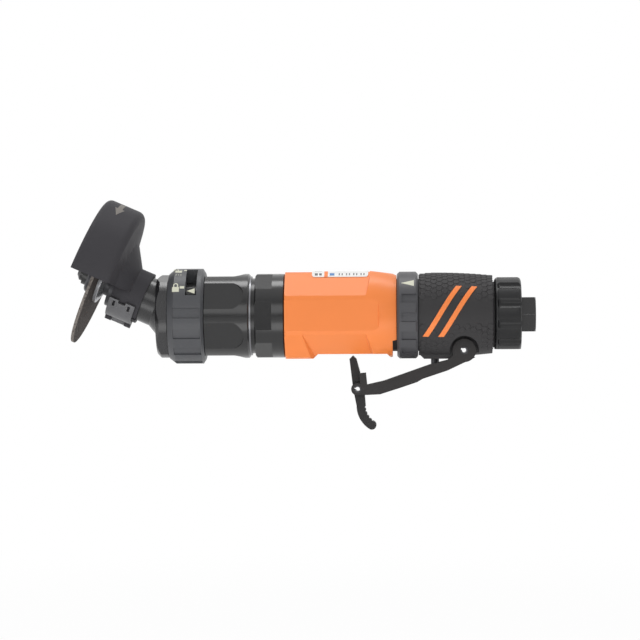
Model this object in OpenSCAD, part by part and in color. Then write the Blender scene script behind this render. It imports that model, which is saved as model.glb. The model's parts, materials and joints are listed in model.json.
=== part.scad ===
// Pneumatic cut off tool: a vane motor in a round body, a lever throttle in the handle,
// an angle head that swivels behind a lock ring, and a guarded cutting disc.
// Lengths are in millimetres. The mouth of the air inlet is at the origin, +X points out of
// the inlet, +Z is up, and the throttle lever hangs below the handle.
// A station is a distance along the tool from the inlet mouth towards the head.

/* [Air inlet and exhaust cap] */
// Width across the flats of the inlet hexagon
inlet_flats = 19; // [18:0.5:22]
// Length of the inlet hexagon
inlet_hex_len = 8; // [6:0.5:12]
// Wall radius of the inlet thread
inlet_thread_r = 5.56; // [5:0.01:6]
// Depth of the inlet thread
inlet_thread_depth = 12; // [10:0.5:14]
// Radius of the exhaust cap over its lobes
cap_r = 20.7; // [20.2:0.1:22]
// Length of the exhaust cap
cap_len = 14.9; // [13:0.1:18]
// Number of lobes round the exhaust cap
cap_lobes = 11; // [7:1:13]
// Depth of the scallops between the lobes
cap_scallop = 1.8; // [0.8:0.1:2.2]

/* [Handle] */
// Length of the handle barrel
handle_len = 40.7; // [38:0.1:50]
// Largest radius of the handle barrel
handle_r = 23.2; // [22.6:0.1:25]
// Width of the lug that the lever straddles
lug_width = 15; // [14:0.5:17]
// Depth of the flat underside below the tool axis
lug_drop = 24.3; // [23.8:0.1:26]

/* [Reversing ring] */
// Length of the reversing ring
reverse_ring_len = 11.6; // [10:0.1:16]
// Wall of the reversing ring
reverse_ring_wall = 4.1; // [3.6:0.1:5]
// Travel of the reversing ring in degrees
reverse_travel = 36; // [20:1:45]

/* [Motor] */
// Length of the orange motor cover
cover_len = 61.5; // [60:0.1:75]
// Outer radius of the motor cover
cover_r = 24; // [23.6:0.1:26]
// Depth of the flat panels below the round of the cover
panel_depth = 2.6; // [2:0.1:3]
// Wall of the motor cover between its panels
cover_wall = 4.4; // [4:0.1:5]
// Wall of the motor housing
motor_wall = 2.6; // [2:0.1:2.8]
// Radius of the rotor as a share of the motor bore
rotor_share = 0.688; // [0.6:0.002:0.72]
// Number of rotor vanes
vane_count = 5; // [4:1:6]

/* [Front end] */
// Length of the clamp nut with the wrench flats
clamp_nut_len = 16.6; // [15:0.1:20]
// Wall of the clamp nut
clamp_nut_wall = 3.7; // [3.2:0.1:5]
// Length of the open groove in front of the clamp nut
groove_len = 3; // [2.4:0.1:5]
// Length of the coupling nut
coupling_nut_len = 24.7; // [22:0.1:30]
// Wall of the coupling nut
coupling_nut_wall = 4.4; // [3.8:0.1:6]
// Length of the lock ring
lock_ring_len = 19.9; // [18:0.1:24]
// Wall of the lock ring
lock_ring_wall = 7.5; // [6.8:0.1:9]
// Number of grip ribs that would fill a full turn of a ring
rib_pitch_count = 14; // [12:1:18]
// Travel of the lock ring in degrees
lock_travel = 33; // [20:1:34]

/* [Angle head] */
// Angle between the spindle and the tool axis in degrees
spindle_tilt = 23.45; // [20:0.05:26]
// Length of the spindle nose in front of the bearing cap
nose_stand = 3.1; // [2.6:0.1:6]
// Wall of the neck that the guard turns on
neck_wall = 1.8; // [1.6:0.1:2.6]
// Outer radius of the head collar
collar_r = 23.2; // [22:0.1:25]
// Length of the head collar
collar_len = 5.3; // [4.5:0.1:8]
// Teeth on each bevel gear
gear_teeth = 14; // [12:1:18]

/* [Wheel and guard] */
// Clearance between the rim of the cutting disc and the guard
disc_room = 3.8; // [3:0.1:8]
// Thickness of the cutting disc
disc_thick = 1.6; // [1:0.1:2.4]
// Radius of the arbor that centres the disc
arbor_r = 4.74; // [4.4:0.01:4.9]
// Outer radius of the guard drum
guard_r = 43.4; // [42:0.1:46]
// Width of the guard drum along the spindle
guard_width = 22.9; // [20:0.1:26]
// Sheet thickness of the guard
guard_wall = 1.6; // [1:0.1:2]
// Angle that the guard covers in degrees
guard_cover = 177; // [150:1:200]

/* [Throttle lever] */
// Distance from the right end of the handle barrel to the lever pivot
lever_pin_in = 15.6; // [15:0.1:17]
// Drop of the lever pivot below the tool axis
lever_pin_drop = 19.7; // [19.4:0.1:20.2]
// Distance from the lever pivot to the pin of the safety catch
lever_len = 62.7; // [61:0.1:66]
// Slope of the released lever in degrees
lever_slope = 19.7; // [19.3:0.1:21]
// Depth of the lever flanges
lever_depth = 7.3; // [6.4:0.1:7.6]
// Sheet thickness of the lever
lever_sheet = 1.8; // [1.2:0.1:2]
// Outer radius of the two hollow roll pins
roll_pin_r = 2; // [1.7:0.05:2.2]

/* [Safety catch] */
// Gap between the arm of the catch and the motor cover
catch_gap = 0.9; // [0.8:0.05:1.6]
// Radius of the middle line of the curved finger
finger_bend_r = 12.8; // [11:0.2:15]
// Thickness of the curved finger
finger_thick = 5; // [4:0.1:5.6]
// Width of the catch across the tool
catch_width = 10; // [8:0.5:12]

/* [Throttle valve] */
// Radius of the valve plunger
plunger_r = 2.25; // [1.9:0.05:2.4]
// Bore radius of the valve chamber
valve_bore_r = 6; // [5.6:0.1:6.2]
// Turns of the valve spring
valve_spring_turns = 6; // [4:1:7]

/* [Hidden] */
$fn = 96;

// Shared clearances and the overrun of every cut
over = 1;
fit_gap = 0.02;
run_gap = 0.05;
end_gap = 0.3;
touch_gap = 0.1;

// Stations along the tool, from the inlet mouth to the head
neck_gap = 1.1;
cap_s = inlet_hex_len;
neck_s = cap_s + cap_len;
handle_s = neck_s + neck_gap;
ring_s = handle_s + handle_len + end_gap;
cover_s = ring_s + reverse_ring_len + end_gap;
clamp_s = cover_s + cover_len;
groove_s = clamp_s + clamp_nut_len;
nut_s = groove_s + groove_len;
lock_s = nut_s + coupling_nut_len + end_gap;
collar_s = lock_s + lock_ring_len + end_gap;
axes_back = 9.05;
apex_s = collar_s - axes_back;

// Angles round the tool axis: zero is up and minus ninety is the near side, which carries the signs
toward_side = -90;
downward = 180;

// Inlet bushing and exhaust cap
bushing_shank_r = 9;
bushing_shank_len = 22;
bushing_chamfer = 1;
air_passage_r = 4.5;
screen_thick = 1;
cap_wall = 3.6;
cap_end_wall = 3;
cap_corner_r = 3.3;
cap_spigot_r = cap_r - cap_wall;
cap_spigot_len = 3;
cap_scallop_r = 6;
cap_slit_width = 1.2;
cap_slit_len = 4.6;
cap_slit_inset = 2.4;
cap_turn = 5.4;
silencer_share = 0.62;

// Handle barrel, its neck, lug and passages
neck_inset = 2.4;
handle_neck_r = cap_r - neck_inset;
barrel_left_drop = 0.9;
barrel_right_drop = 1.7;
barrel_crest_share = 0.78;
barrel_steps = 6;
spigot_step = 2.2;
spigot_len = 8.8;
spigot_wall = 2;
spigot_step_s = cover_s + spigot_step;
lever_pin_s = handle_s + lever_pin_in;
lug_top_drop = 10;
lug_chamfer = 2.9;
lug_nose_r = 4.6;
pocket_r = 8.1;
exhaust_hole_r = 1.8;
exhaust_hole_in = 3.5;
exhaust_hole_ring_r = cap_spigot_r - exhaust_hole_in;
exhaust_hole_angles = [-70, -30, 30, 70];

// Reversing ring and its valve
ring_chamfer = 2.2;
ring_groove_depth = 0.7;
ring_groove_inset = 2.6;
ring_groove_angle = -3;
groove_half_share = 0.24;
reverse_pin_r = 1.6;
reverse_pin_in = 3;
reverse_pin_out = 2;
reverse_slot_angle = 4;
reverse_valve_wall = 4;
reverse_port_r = 3;

// Motor, from the rear plate to the front of the clamp nut
plate_len = 8;
plate_web = 2;
rotor_bearing_bore_r = 3.5;
rotor_bearing_r = 9.5;
bearing_width = 6;
bore_offset = 1;
bore_margin = 0.3;
cylinder_port_r = 2;
cylinder_ports = 6;
vane_thick = 1.7;
vane_floor_share = 0.513;
vane_stand = 0.25;
drive_flats = 6;
drive_len = 14;
clamp_wall = 5.1;
motor_spacer_len = 8;
clamp_wall_s = groove_s - clamp_wall;
spacer_s = clamp_wall_s - motor_spacer_len;
front_plate_s = spacer_s - plate_len;
plate_s = spigot_step_s + spigot_len;
cylinder_s = plate_s + plate_len;
cylinder_len = front_plate_s - cylinder_s;
motor_housing_r = cover_r - cover_wall;
motor_bore_r = motor_housing_r - motor_wall;
rotor_r = rotor_share * motor_bore_r;
vane_slot_floor_r = vane_floor_share * rotor_r;
cylinder_bore_r = rotor_r + bore_offset + bore_margin;
ring_seat_step = 0.4;
ring_seat_r = motor_housing_r + ring_seat_step;
reverse_ring_r = ring_seat_r + reverse_ring_wall;
valve_tube_r = motor_bore_r - spigot_wall;

// Panels of the motor cover, as shares of its length from the handle end
panel_angle = 45;
cover_flat_r = cover_r - panel_depth;
panel_run = 3.3;
panel_long_run = 9;
panel_side_shares = [0.17, 0.17, 0.835, 0.835];
panel_slant_shares = [0.285, 0.24, 0.855, 0.765];
panel_under_shares = [0.098, 0.098, 0.7, 0.7];
cover_taper_len = 8;
cover_taper = 2;
cover_left_round = 0.6;
cover_notch_len = 2.2;
cover_notch_half_angle = 52;
label_thick = 0.2;
label_start_share = 0.26;
label_end_share = 0.762;
label_half_angle = 22;

// Clamp nut, front housing and coupling nut
nut_chamfer = 0.8;
clamp_flat_len = 9.5;
clamp_flat_depth = 1.4;
coupling_flat_depth = 1.5;
coupling_flat_end_r = 8.6;
coupling_flat_stop = 2.9;
front_body_r = 19;
front_bore_share = 0.79;
front_step = 0.1;
front_chamber_step = 1.4;
groove_rise = 1.9;
spacer_ring_stand = 1.1;
front_bore_r = front_bore_share * front_body_r;
front_chamber_r = front_bore_r + front_chamber_step;
groove_r = front_body_r + groove_rise;
spacer_ring_r = groove_r + spacer_ring_stand;
front_chamber_share = 0.55;
flange_bore_r = front_body_r - front_step;
clamp_nut_r = max(motor_housing_r, flange_bore_r) + clamp_nut_wall;
coupling_nut_r = front_body_r + coupling_nut_wall;
spacer_ring_len = 0.9;

// Lock ring
lock_left_chamfer_len = 3.6;
lock_left_chamfer = 2.8;
lock_right_chamfer_len = 1.3;
lock_right_chamfer = 2.1;
rib_depth = 0.8;
rib_inset_left = 1.6;
rib_inset_right = 3.2;
rib_first_angle = 86.5;
rib_grooves = 8;
window_start = 3.7;
window_len = 6.1;
window_low_spare = 2;
window_high_spare = 7;
key_low_angle = 28;
key_high_angle = 38;
window_low_angle = key_low_angle - window_low_spare;
window_high_angle = key_high_angle + lock_travel + window_high_spare;
lock_seat_r = front_body_r - front_step;
lock_ring_r = lock_seat_r + lock_ring_wall;
key_inset = 0.4;
key_seat_depth = 1.2;
key_below = 1;

// Head: spigot, gears, bearings and collar
spigot_wall_r = front_bore_r - run_gap;
retainer_len = 4.7;
retainer_out = 1.35;
retainer_seat = 1;
seal_r = 0.9;
seal_back = 7;
head_bore_share = 0.735;
head_bearing_bore_share = 0.4547;
head_bore_r = head_bore_share * spigot_wall_r;
neck_r = head_bore_r + neck_wall;
head_bearing_bore_r = head_bearing_bore_share * head_bore_r;
pinion_bearing_ahead = 16;
gear_cavity_step = 0.4;
gear_cavity_r = head_bore_r + gear_cavity_step;
gear_cavity_back = 4;
gear_cavity_front = 5.5;
rear_bearing_t = 17;
spacer_len = 12;
front_bearing_t = rear_bearing_t + bearing_width + spacer_len;
neck_lip = 1;
neck_end_t = front_bearing_t + bearing_width + neck_lip;
flare_t = 17;
flare_slope = 0.53;
collar_flat_depth = 1.6;
collar_flat_angle = 16;
collar_chamfer = 2.1;
collar_chamfer_len = 2.1;
collar_face_r = 10.6;
collar_face_rise = 2.2;
cap_flange_inset = 0.8;
cap_flange_r = neck_r - cap_flange_inset;
cap_flange_len = 2.5;
cap_hole_r = 7.3;
spacer_tube_wall = 2.4;

// Bevel gears: distances from the apex, and tooth heights as shares of them
gear_out_share = 0.955;
gear_in_share = 0.571;
gear_hub_share = 0.591;
gear_out = gear_out_share * head_bore_r;
gear_in = gear_in_share * gear_out;
addendum_share = 0.1;
dedendum_share = 0.125;
gear_face_share = 0.85;
backlash_share = 0.022;
pressure_angle = 20;
gear_back = 5.2;
gear_hub_r = gear_hub_share * head_bore_r;
gear_hub_room = 2;
hub_bore_r = gear_hub_r + gear_hub_room;
gear_half_angle = spindle_tilt / 2;

// Spindle nose, flanges and screw
nose_r = 7;
flange_thick = 3.9;
inner_flange_r = 12.9;
flange_relief_r = 8.6;
flange_relief = 0.5;
outer_flange_r = 9.2;
outer_flange_thick = 5.4;
outer_flange_chamfer = 0.8;
screw_step_r = 6.2;
screw_step_len = 2.8;
screw_head_r = 4.7;
screw_head_len = 3.6;
screw_shank_r = 3;
screw_shank_len = 14;
screw_socket_flats = 4;
screw_socket_depth = 2.2;
nose_end_t = neck_end_t + cap_flange_len + nose_stand;
disc_back_t = nose_end_t + flange_thick;
disc_front_t = disc_back_t + disc_thick;
disc_r = guard_r - guard_wall - disc_room;
arbor_end_t = disc_front_t + outer_flange_thick / 2;

// Guard, its hub ring and its latch
guard_ahead = 13;
guard_front_t = (disc_back_t + disc_front_t) / 2 + guard_ahead;
guard_shoulder_r = 4.4;
guard_cone_r = 27.2;
guard_cone_rise = 2;
guard_hub_share = 0.45;
hub_ring_wall = 1.8;
hub_slit = 2;
hub_slit_angle = -150;
latch_wall = 1.5;
latch_inset = 2.1;
latch_low_angle = -194;
latch_high_angle = -112;
latch_slot_width = 1.4;
latch_slot_low_angle = -128;
latch_slot_high_angle = -116;
latch_notch_past_angle = 1;
latch_slot_inset = 2.4;
latch_notch_len = 4.2;
latch_notch_angle = 6;
latch_pin_r = 1.1;
latch_ear_r = 2.2;
latch_ear_len = 3.6;
hub_ring_bore_r = neck_r + run_gap;
hub_ring_r = hub_ring_bore_r + hub_ring_wall;
latch_r = hub_ring_r + end_gap;
latch_pin_ring_r = latch_r + latch_ear_r;

// The hub ring starts where its lowest corner clears the face of the collar
collar_face_s = collar_s + collar_len + collar_face_rise;
hub_ring_t = (collar_face_s - apex_s + end_gap + hub_ring_r * sin(spindle_tilt)) / cos(spindle_tilt);
hub_ring_len = neck_end_t - touch_gap - hub_ring_t;
latch_t = hub_ring_t + latch_inset;
latch_len = hub_ring_len - latch_inset;

// Throttle lever, its pins and the shares of its outline along and across its length
lever_side_gap = 0.3;
lever_ear_r = 6.5;
lever_end_r = 3.3;
roll_pin_wall = 0.75;
roll_pin_slot = 0.9;
lever_top_shares = [[0.06, -0.1], [0.165, 0.26], [0.32, 0.13], [0.54, 0.12], [0.76, 0.1],
    [0.912, -0.06], [0.886, -0.94], [0.94, -1.06], [0.97, 0]];
lever_low_shares = [[1, 0.45], [0.945, 0.64], [0.83, 0.95], [0.65, 1.01], [0.485, 1.04],
    [0.432, 0.95], [0.2, 1], [-0.07, 0.78], [0, 0]];
web_low_shares = [[0.8, 0.955], [0.65, 1.01], [0.485, 1.04], [0.432, 0.95], [0.2, 1]];
lever_inner = lug_width / 2 + lever_side_gap;
lever_outer = lever_inner + lever_sheet;

// Safety catch, with its outline round its own pin
catch_hub_r = 3.6;
catch_hub_width = lug_width - end_gap;
catch_pin_drop = lever_pin_drop + lever_len * sin(lever_slope);
catch_arm = catch_pin_drop - cover_flat_r - catch_gap;
catch_arm_thick = 3.8;
catch_lean = 2.6;
catch_root = 5.1;
finger_start = 9.3;
finger_offset = 1.8;
finger_sweep_angle = 57.4;
serration_r = 0.6;
serration_count = 5;
serration_start_angle = 5;
serration_step_angle = 11.5;

// Throttle valve
plunger_share = 0.78;
plunger_gap = 0.6;
plunger_s = handle_s + plunger_share * handle_len;
plunger_tip_drop = lever_pin_drop + (plunger_s - lever_pin_s) * tan(lever_slope)
    + (lever_depth - lever_sheet - plunger_r) / cos(lever_slope) - plunger_gap;
seat_top_drop = 4;
seat_len = 2;
seat_hole_r = 3.2;
poppet_r = 4.6;
poppet_len = 2;
chamber_roof = 9;
bush_top_drop = 13;
bush_bottom_inset = 0.3;
outlet_r = 3;
outlet_drop = 9.5;
spring_wire_r = 0.45;
spring_coil_r = 4;
spring_sides = 6;
spring_rings = 8;
spring_end = 0.1;

// Frames

module tool_axis() {
    rotate([0, -90, 0])
        children();
}

module spindle_axis() {
    tool_axis()
        translate([0, 0, apex_s])
            rotate([0, spindle_tilt, 0])
                children();
}

// The view from the side: x is the station, y is the height, z goes away across the tool
module side_view() {
    rotate([90, 0, 180])
        children();
}

module lever_frame() {
    side_view()
        translate([lever_pin_s, -lever_pin_drop, 0])
            rotate([0, 0, -lever_slope])
                children();
}

module catch_frame() {
    lever_frame()
        translate([lever_len, 0, 0])
            rotate([0, 0, lever_slope])
                children();
}

// Shapes used by many pieces

module rod(r, from, to) {
    translate([0, 0, from])
        cylinder(r = r, h = to - from);
}

module tube(outer, inner, from, to) {
    difference() {
        rod(outer, from, to);
        rod(inner, from - over, to + over);
    }
}

module turned(outline) {
    rotate_extrude()
        polygon(outline);
}

// A ring sector between two angles
module sector(inner, outer, from, to, low, high) {
    rotate_extrude(start = low, angle = high - low)
        translate([inner, from])
            square([outer - inner, to - from]);
}

module hexagon(flats, from, to) {
    translate([0, 0, from])
        rotate([0, 0, 30])
            cylinder(r = flats / 2 / cos(30), h = to - from, $fn = 6);
}

// A ball bearing as one ring, with the gap between its races shown as grooves
module bearing(bore, outer, from) {
    race_groove_share = 0.12;
    race_land_share = 0.3;
    depth = bearing_width * race_groove_share;
    land = (outer - bore) * race_land_share;
    difference() {
        tube(outer, bore, from, from + bearing_width);
        tube(outer - land, bore + land, from - over, from + depth);
        tube(outer - land, bore + land, from + bearing_width - depth, from + bearing_width + over);
    }
}

// A plate across the tool between two distances from its middle, on both sides
module cheeks(inner, outer) {
    for (side = [-1, 1])
        translate([0, 0, side * (inner + outer) / 2])
            linear_extrude(outer - inner, center = true)
                children();
}

module across(width) {
    linear_extrude(width, center = true)
        children();
}

// A hollow roll pin with its slot, across the tool at the frame's origin
module roll_pin(length) {
    difference() {
        across(length)
            circle(roll_pin_r);
        across(length + 2 * over)
            circle(roll_pin_r - roll_pin_wall);
        rotate([0, 0, 30])
            translate([0, -roll_pin_slot / 2, -length / 2 - over])
                cube([roll_pin_r + over, roll_pin_slot, length + 2 * over]);
    }
}

// Air inlet and exhaust

module inlet_bushing() {
    hex_r = inlet_flats / 2 / cos(30);
    color("#2c2c2e") tool_axis() difference() {
        union() {
            intersection() {
                hexagon(inlet_flats, 0, cap_s);
                turned([[0, 0], [hex_r - bushing_chamfer, 0], [hex_r, bushing_chamfer],
                    [hex_r, cap_s], [0, cap_s]]);
            }
            rod(bushing_shank_r, cap_s - fit_gap, cap_s + bushing_shank_len);
        }
        rod(inlet_thread_r, -over, inlet_thread_depth);
        rod(air_passage_r, -over, cap_s + bushing_shank_len + over);
    }
}

module inlet_screen() {
    screen_r = air_passage_r - fit_gap;
    color("#b9a05a") tool_axis()
        rod(screen_r, inlet_thread_depth + screen_thick, inlet_thread_depth + 2 * screen_thick);
}

module exhaust_silencer() {
    inner = bushing_shank_r + fit_gap;
    outer = inner + silencer_share * (cap_spigot_r - inner);
    color("#8d8678") tool_axis()
        tube(outer, inner, cap_s + cap_end_wall + end_gap,
            neck_s - cap_spigot_len - touch_gap);
}

module exhaust_cap() {
    bore = cap_spigot_r + run_gap;
    color("#3a3a3c") tool_axis() difference() {
        rotate_extrude()
            translate([0, cap_s + touch_gap])
                intersection() {
                    rounded_half(cap_r, cap_len - touch_gap, cap_corner_r);
                    square([cap_r, cap_len - touch_gap]);
                }
        rod(bushing_shank_r + run_gap, cap_s - over, neck_s + over);
        rod(bore, cap_s + cap_end_wall, neck_s + over);
        for (lobe = [0:cap_lobes - 1])
            rotate([0, 0, (lobe + 0.5) * 360 / cap_lobes - cap_turn])
                translate([cap_r - cap_scallop + cap_scallop_r, 0, 0])
                    rod(cap_scallop_r, cap_s - over, neck_s + over);
        for (lobe = [0:cap_lobes - 1])
            rotate([0, 0, lobe * 360 / cap_lobes - cap_turn])
                translate([bore - over, -cap_slit_width / 2, neck_s - cap_slit_inset - cap_slit_len])
                    cube([cap_r, cap_slit_width, cap_slit_len]);
    }
}

// A half profile with both outer corners rounded
module rounded_half(r, length, corner) {
    square([r - corner, length]);
    translate([0, corner])
        square([r, length - 2 * corner]);
    translate([r - corner, corner])
        circle(corner);
    translate([r - corner, length - corner])
        circle(corner);
}

// Handle

function barrel_r(share) =
    share > barrel_crest_share
        ? handle_r - barrel_left_drop * pow((share - barrel_crest_share) / (1 - barrel_crest_share), 2)
        : handle_r - barrel_right_drop * pow((barrel_crest_share - share) / barrel_crest_share, 2);

module handle_barrel() {
    shares = [for (i = [0:2 * barrel_steps]) i / (2 * barrel_steps)];
    turned(concat(
        [[0, handle_s]],
        [for (share = shares) [barrel_r(share), handle_s + share * handle_len]],
        [[0, handle_s + handle_len]]
    ));
}

// The flat underside that holds the valve and the lever pin
module handle_lug() {
    left = handle_s + handle_len;
    side_view() {
        across(lug_width)
            polygon([
                [lever_pin_s, -lug_top_drop],
                [left, -lug_top_drop],
                [left, -lug_drop + lug_chamfer],
                [left - lug_chamfer, -lug_drop],
                [lever_pin_s, -lug_drop]
            ]);
        translate([lever_pin_s, -lever_pin_drop, 0])
            across(lug_width)
                circle(lug_nose_r);
    }
}

module throttle_housing() {
    color("#2e2e30") difference() {
        union() {
            tool_axis() {
                handle_barrel();
                rod(handle_neck_r, neck_s + touch_gap, handle_s + over);
                rod(cap_spigot_r, neck_s - cap_spigot_len, handle_s + over);
                rod(ring_seat_r, handle_s + handle_len - over, spigot_step_s);
                rod(motor_bore_r - fit_gap, spigot_step_s - over, plate_s);
            }
            handle_lug();
        }
        tool_axis() {
            rod(bushing_shank_r + fit_gap, cap_s, cap_s + bushing_shank_len);
            rod(air_passage_r, cap_s, plunger_s);
            rod(valve_tube_r, ring_s, plate_s + over);
            translate([-outlet_drop, 0, 0])
                rod(outlet_r, plunger_s, ring_s + over);
            for (angle = exhaust_hole_angles)
                rotate([0, 0, angle])
                    translate([exhaust_hole_ring_r, 0, 0])
                        rod(exhaust_hole_r, cap_s, ring_s + over);
            reverse_pin_slot();
        }
        translate([-plunger_s, 0, 0])
            rod(valve_bore_r, -lug_drop - over, chamber_roof);
        side_view()
            translate([lever_pin_s, -lever_pin_drop, 0]) {
                across(lug_width + 2 * over)
                    circle(roll_pin_r + fit_gap);
                cheeks(lug_width / 2, handle_r + over)
                    circle(pocket_r);
            }
    }
}

// The slot lets the pin turn with the ring over its whole travel
module reverse_pin_slot() {
    pin_s = ring_s + reverse_ring_len / 2;
    half = reverse_pin_r + end_gap;
    spare = reverse_slot_angle + asin(half / valve_tube_r);
    sector(valve_tube_r - over, ring_seat_r + over, pin_s - half, pin_s + half,
        -reverse_travel - spare, spare);
}

module lever_pin() {
    color("#77777a") side_view()
        translate([lever_pin_s, -lever_pin_drop, 0])
            roll_pin(2 * lever_outer);
}

// Throttle valve

module valve_bush() {
    color("#b08d4a") translate([-plunger_s, 0, 0])
        tube(valve_bore_r - fit_gap, plunger_r + run_gap, -lug_drop + bush_bottom_inset,
            -bush_top_drop);
}

module valve_seat() {
    color("#3b3b3b") translate([-plunger_s, 0, 0])
        tube(valve_bore_r - fit_gap, seat_hole_r, -seat_top_drop - seat_len, -seat_top_drop);
}

module valve_plunger() {
    color("#5a5a5c") translate([-plunger_s, 0, 0]) {
        translate([0, 0, -plunger_tip_drop])
            sphere(plunger_r);
        rod(plunger_r, -plunger_tip_drop, -seat_top_drop + touch_gap + poppet_len / 2);
        rod(poppet_r, -seat_top_drop + touch_gap, -seat_top_drop + touch_gap + poppet_len);
    }
}

spring_low = -seat_top_drop + touch_gap + poppet_len + spring_end + spring_wire_r;
spring_high = chamber_roof - spring_end - spring_wire_r;
spring_steps = valve_spring_turns * spring_rings;
spring_pitch = (spring_high - spring_low) / valve_spring_turns;

function spring_point(step, side) =
    let (turn = 360 * step / spring_rings,
        around = 360 * side / spring_sides,
        r = spring_coil_r + spring_wire_r * cos(around),
        height = spring_low + (spring_high - spring_low) * step / spring_steps)
    [r * cos(turn), r * sin(turn), height + spring_wire_r * sin(around)];

module valve_spring() {
    points = [for (step = [0:spring_steps]) for (side = [0:spring_sides - 1]) spring_point(step, side)];
    walls = [for (step = [0:spring_steps - 1]) for (side = [0:spring_sides - 1])
        let (next = (side + 1) % spring_sides, a = step * spring_sides, b = a + spring_sides)
        each [[a + side, b + side, a + next], [a + next, b + side, b + next]]];
    last = spring_steps * spring_sides;
    caps = [for (side = [1:spring_sides - 2])
        each [[0, side, side + 1], [last, last + side + 1, last + side]]];
    echo(valve_spring_least_gap = spring_pitch - 2 * spring_wire_r);
    color("#a8a8ab") translate([-plunger_s, 0, 0])
        polyhedron(points, concat(walls, caps));
}

// Reversing ring

module grip_groove(outer, depth, from, to, angle) {
    half = groove_half_share * 360 / rib_pitch_count;
    sector(outer - depth, outer + over, from, to, angle - half, angle + half);
}

module reverse_ring() {
    left = ring_s + reverse_ring_len;
    bore = ring_seat_r + run_gap;
    pitch = 360 / rib_pitch_count;
    color("#59595b") tool_axis() difference() {
        turned([
            [bore, ring_s], [reverse_ring_r - ring_chamfer, ring_s],
            [reverse_ring_r, ring_s + ring_chamfer], [reverse_ring_r, left - ring_chamfer],
            [reverse_ring_r - ring_chamfer, left], [bore, left]
        ]);
        for (rib = [0:rib_pitch_count - 4])
            grip_groove(reverse_ring_r, ring_groove_depth, ring_s - over, left - ring_groove_inset,
                toward_side + ring_groove_angle - rib * pitch + pitch);
        translate([0, 0, ring_s + reverse_ring_len / 2])
            rotate([0, 90, 0])
                cylinder(r = reverse_pin_r + fit_gap, h = ring_seat_r + reverse_pin_in);
    }
}

module reverse_pin() {
    inner = valve_tube_r - run_gap - reverse_pin_in;
    color("#88888b") tool_axis()
        translate([inner, 0, ring_s + reverse_ring_len / 2])
            rotate([0, 90, 0])
                cylinder(r = reverse_pin_r, h = ring_seat_r + reverse_pin_out - inner);
}

module reverse_valve() {
    outer = valve_tube_r - run_gap;
    mid = ring_s + reverse_ring_len / 2;
    color("#9a8f6a") tool_axis() difference() {
        tube(outer, outer - reverse_valve_wall, ring_s + end_gap, plate_s - end_gap);
        translate([0, 0, mid])
            rotate([0, 90, 0])
                cylinder(r = reverse_pin_r + fit_gap, h = outer + over);
        for (angle = [toward_side, -toward_side])
            rotate([0, 0, angle])
                translate([0, 0, mid])
                    rotate([0, 90, 0])
                        cylinder(r = reverse_port_r, h = outer + over);
    }
}

// Motor

module motor_housing() {
    color("#9b9da0") tool_axis()
        tube(motor_housing_r, motor_bore_r, spigot_step_s + fit_gap, clamp_wall_s - touch_gap);
}

// A cutter above one flat panel, with sloping ends; shares run from the handle end
module panel_cut(shares, angle, flip, far_run = panel_run) {
    half = cover_flat_r * tan(panel_angle / 2) + over / 2;
    rise = panel_depth + over;
    slope = panel_run * rise / panel_depth;
    far_slope = far_run * rise / panel_depth;
    ends = [for (share = shares) cover_s + share * cover_len];
    near = flip ? [ends[1], ends[0]] : [ends[0], ends[1]];
    far = flip ? [ends[3], ends[2]] : [ends[2], ends[3]];
    rotate([0, 0, angle])
        polyhedron(
            [
                [cover_flat_r, -half, near[0]], [cover_flat_r, half, near[1]],
                [cover_flat_r, half, far[1]], [cover_flat_r, -half, far[0]],
                [cover_flat_r + rise, -half, near[0] - slope], [cover_flat_r + rise, half, near[1] - slope],
                [cover_flat_r + rise, half, far[1] + far_slope],
                [cover_flat_r + rise, -half, far[0] + far_slope]
            ],
            [
                [0, 1, 2], [0, 2, 3], [4, 6, 5], [4, 7, 6], [0, 4, 5], [0, 5, 1],
                [1, 5, 6], [1, 6, 2], [2, 6, 7], [2, 7, 3], [3, 7, 4], [3, 4, 0]
            ]
        );
}

module motor_cover() {
    left = cover_s + cover_len;
    bore = motor_housing_r + fit_gap;
    color("#f98842") tool_axis() difference() {
        turned([
            [bore, cover_s], [cover_r - cover_taper, cover_s],
            [cover_r - cover_taper / 4, cover_s + cover_taper_len / 2],
            [cover_r, cover_s + cover_taper_len],
            [cover_r, left - cover_left_round], [cover_r - cover_left_round, left], [bore, left]
        ]);
        rod(ring_seat_r + fit_gap, cover_s - over, spigot_step_s + fit_gap);
        for (side = [-1, 1]) {
            panel_cut(panel_side_shares, side * 2 * panel_angle, false, panel_long_run);
            panel_cut(panel_slant_shares, side * panel_angle, side < 0);
            panel_cut(panel_slant_shares, side * 3 * panel_angle, side > 0);
        }
        panel_cut(panel_under_shares, downward, false);
        sector(ring_seat_r - over, cover_r + over, cover_s - over, cover_s + cover_notch_len,
            downward - cover_notch_half_angle, downward + cover_notch_half_angle);
    }
}

module rating_label() {
    color("white") tool_axis()
        sector(cover_r, cover_r + label_thick, cover_s + label_start_share * cover_len,
            cover_s + label_end_share * cover_len, -label_half_angle, label_half_angle);
}

module rear_plate() {
    color("#8a8c8f") tool_axis() difference() {
        rod(motor_bore_r - fit_gap, plate_s, cylinder_s);
        rod(rotor_bearing_r + fit_gap, plate_s - over, cylinder_s - plate_web);
        rod(rotor_bearing_bore_r + end_gap, plate_s, cylinder_s + over);
    }
}

module rear_bearing() {
    color("#c3c5c8") tool_axis()
        bearing(rotor_bearing_bore_r, rotor_bearing_r, cylinder_s - plate_web - bearing_width);
}

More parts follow.
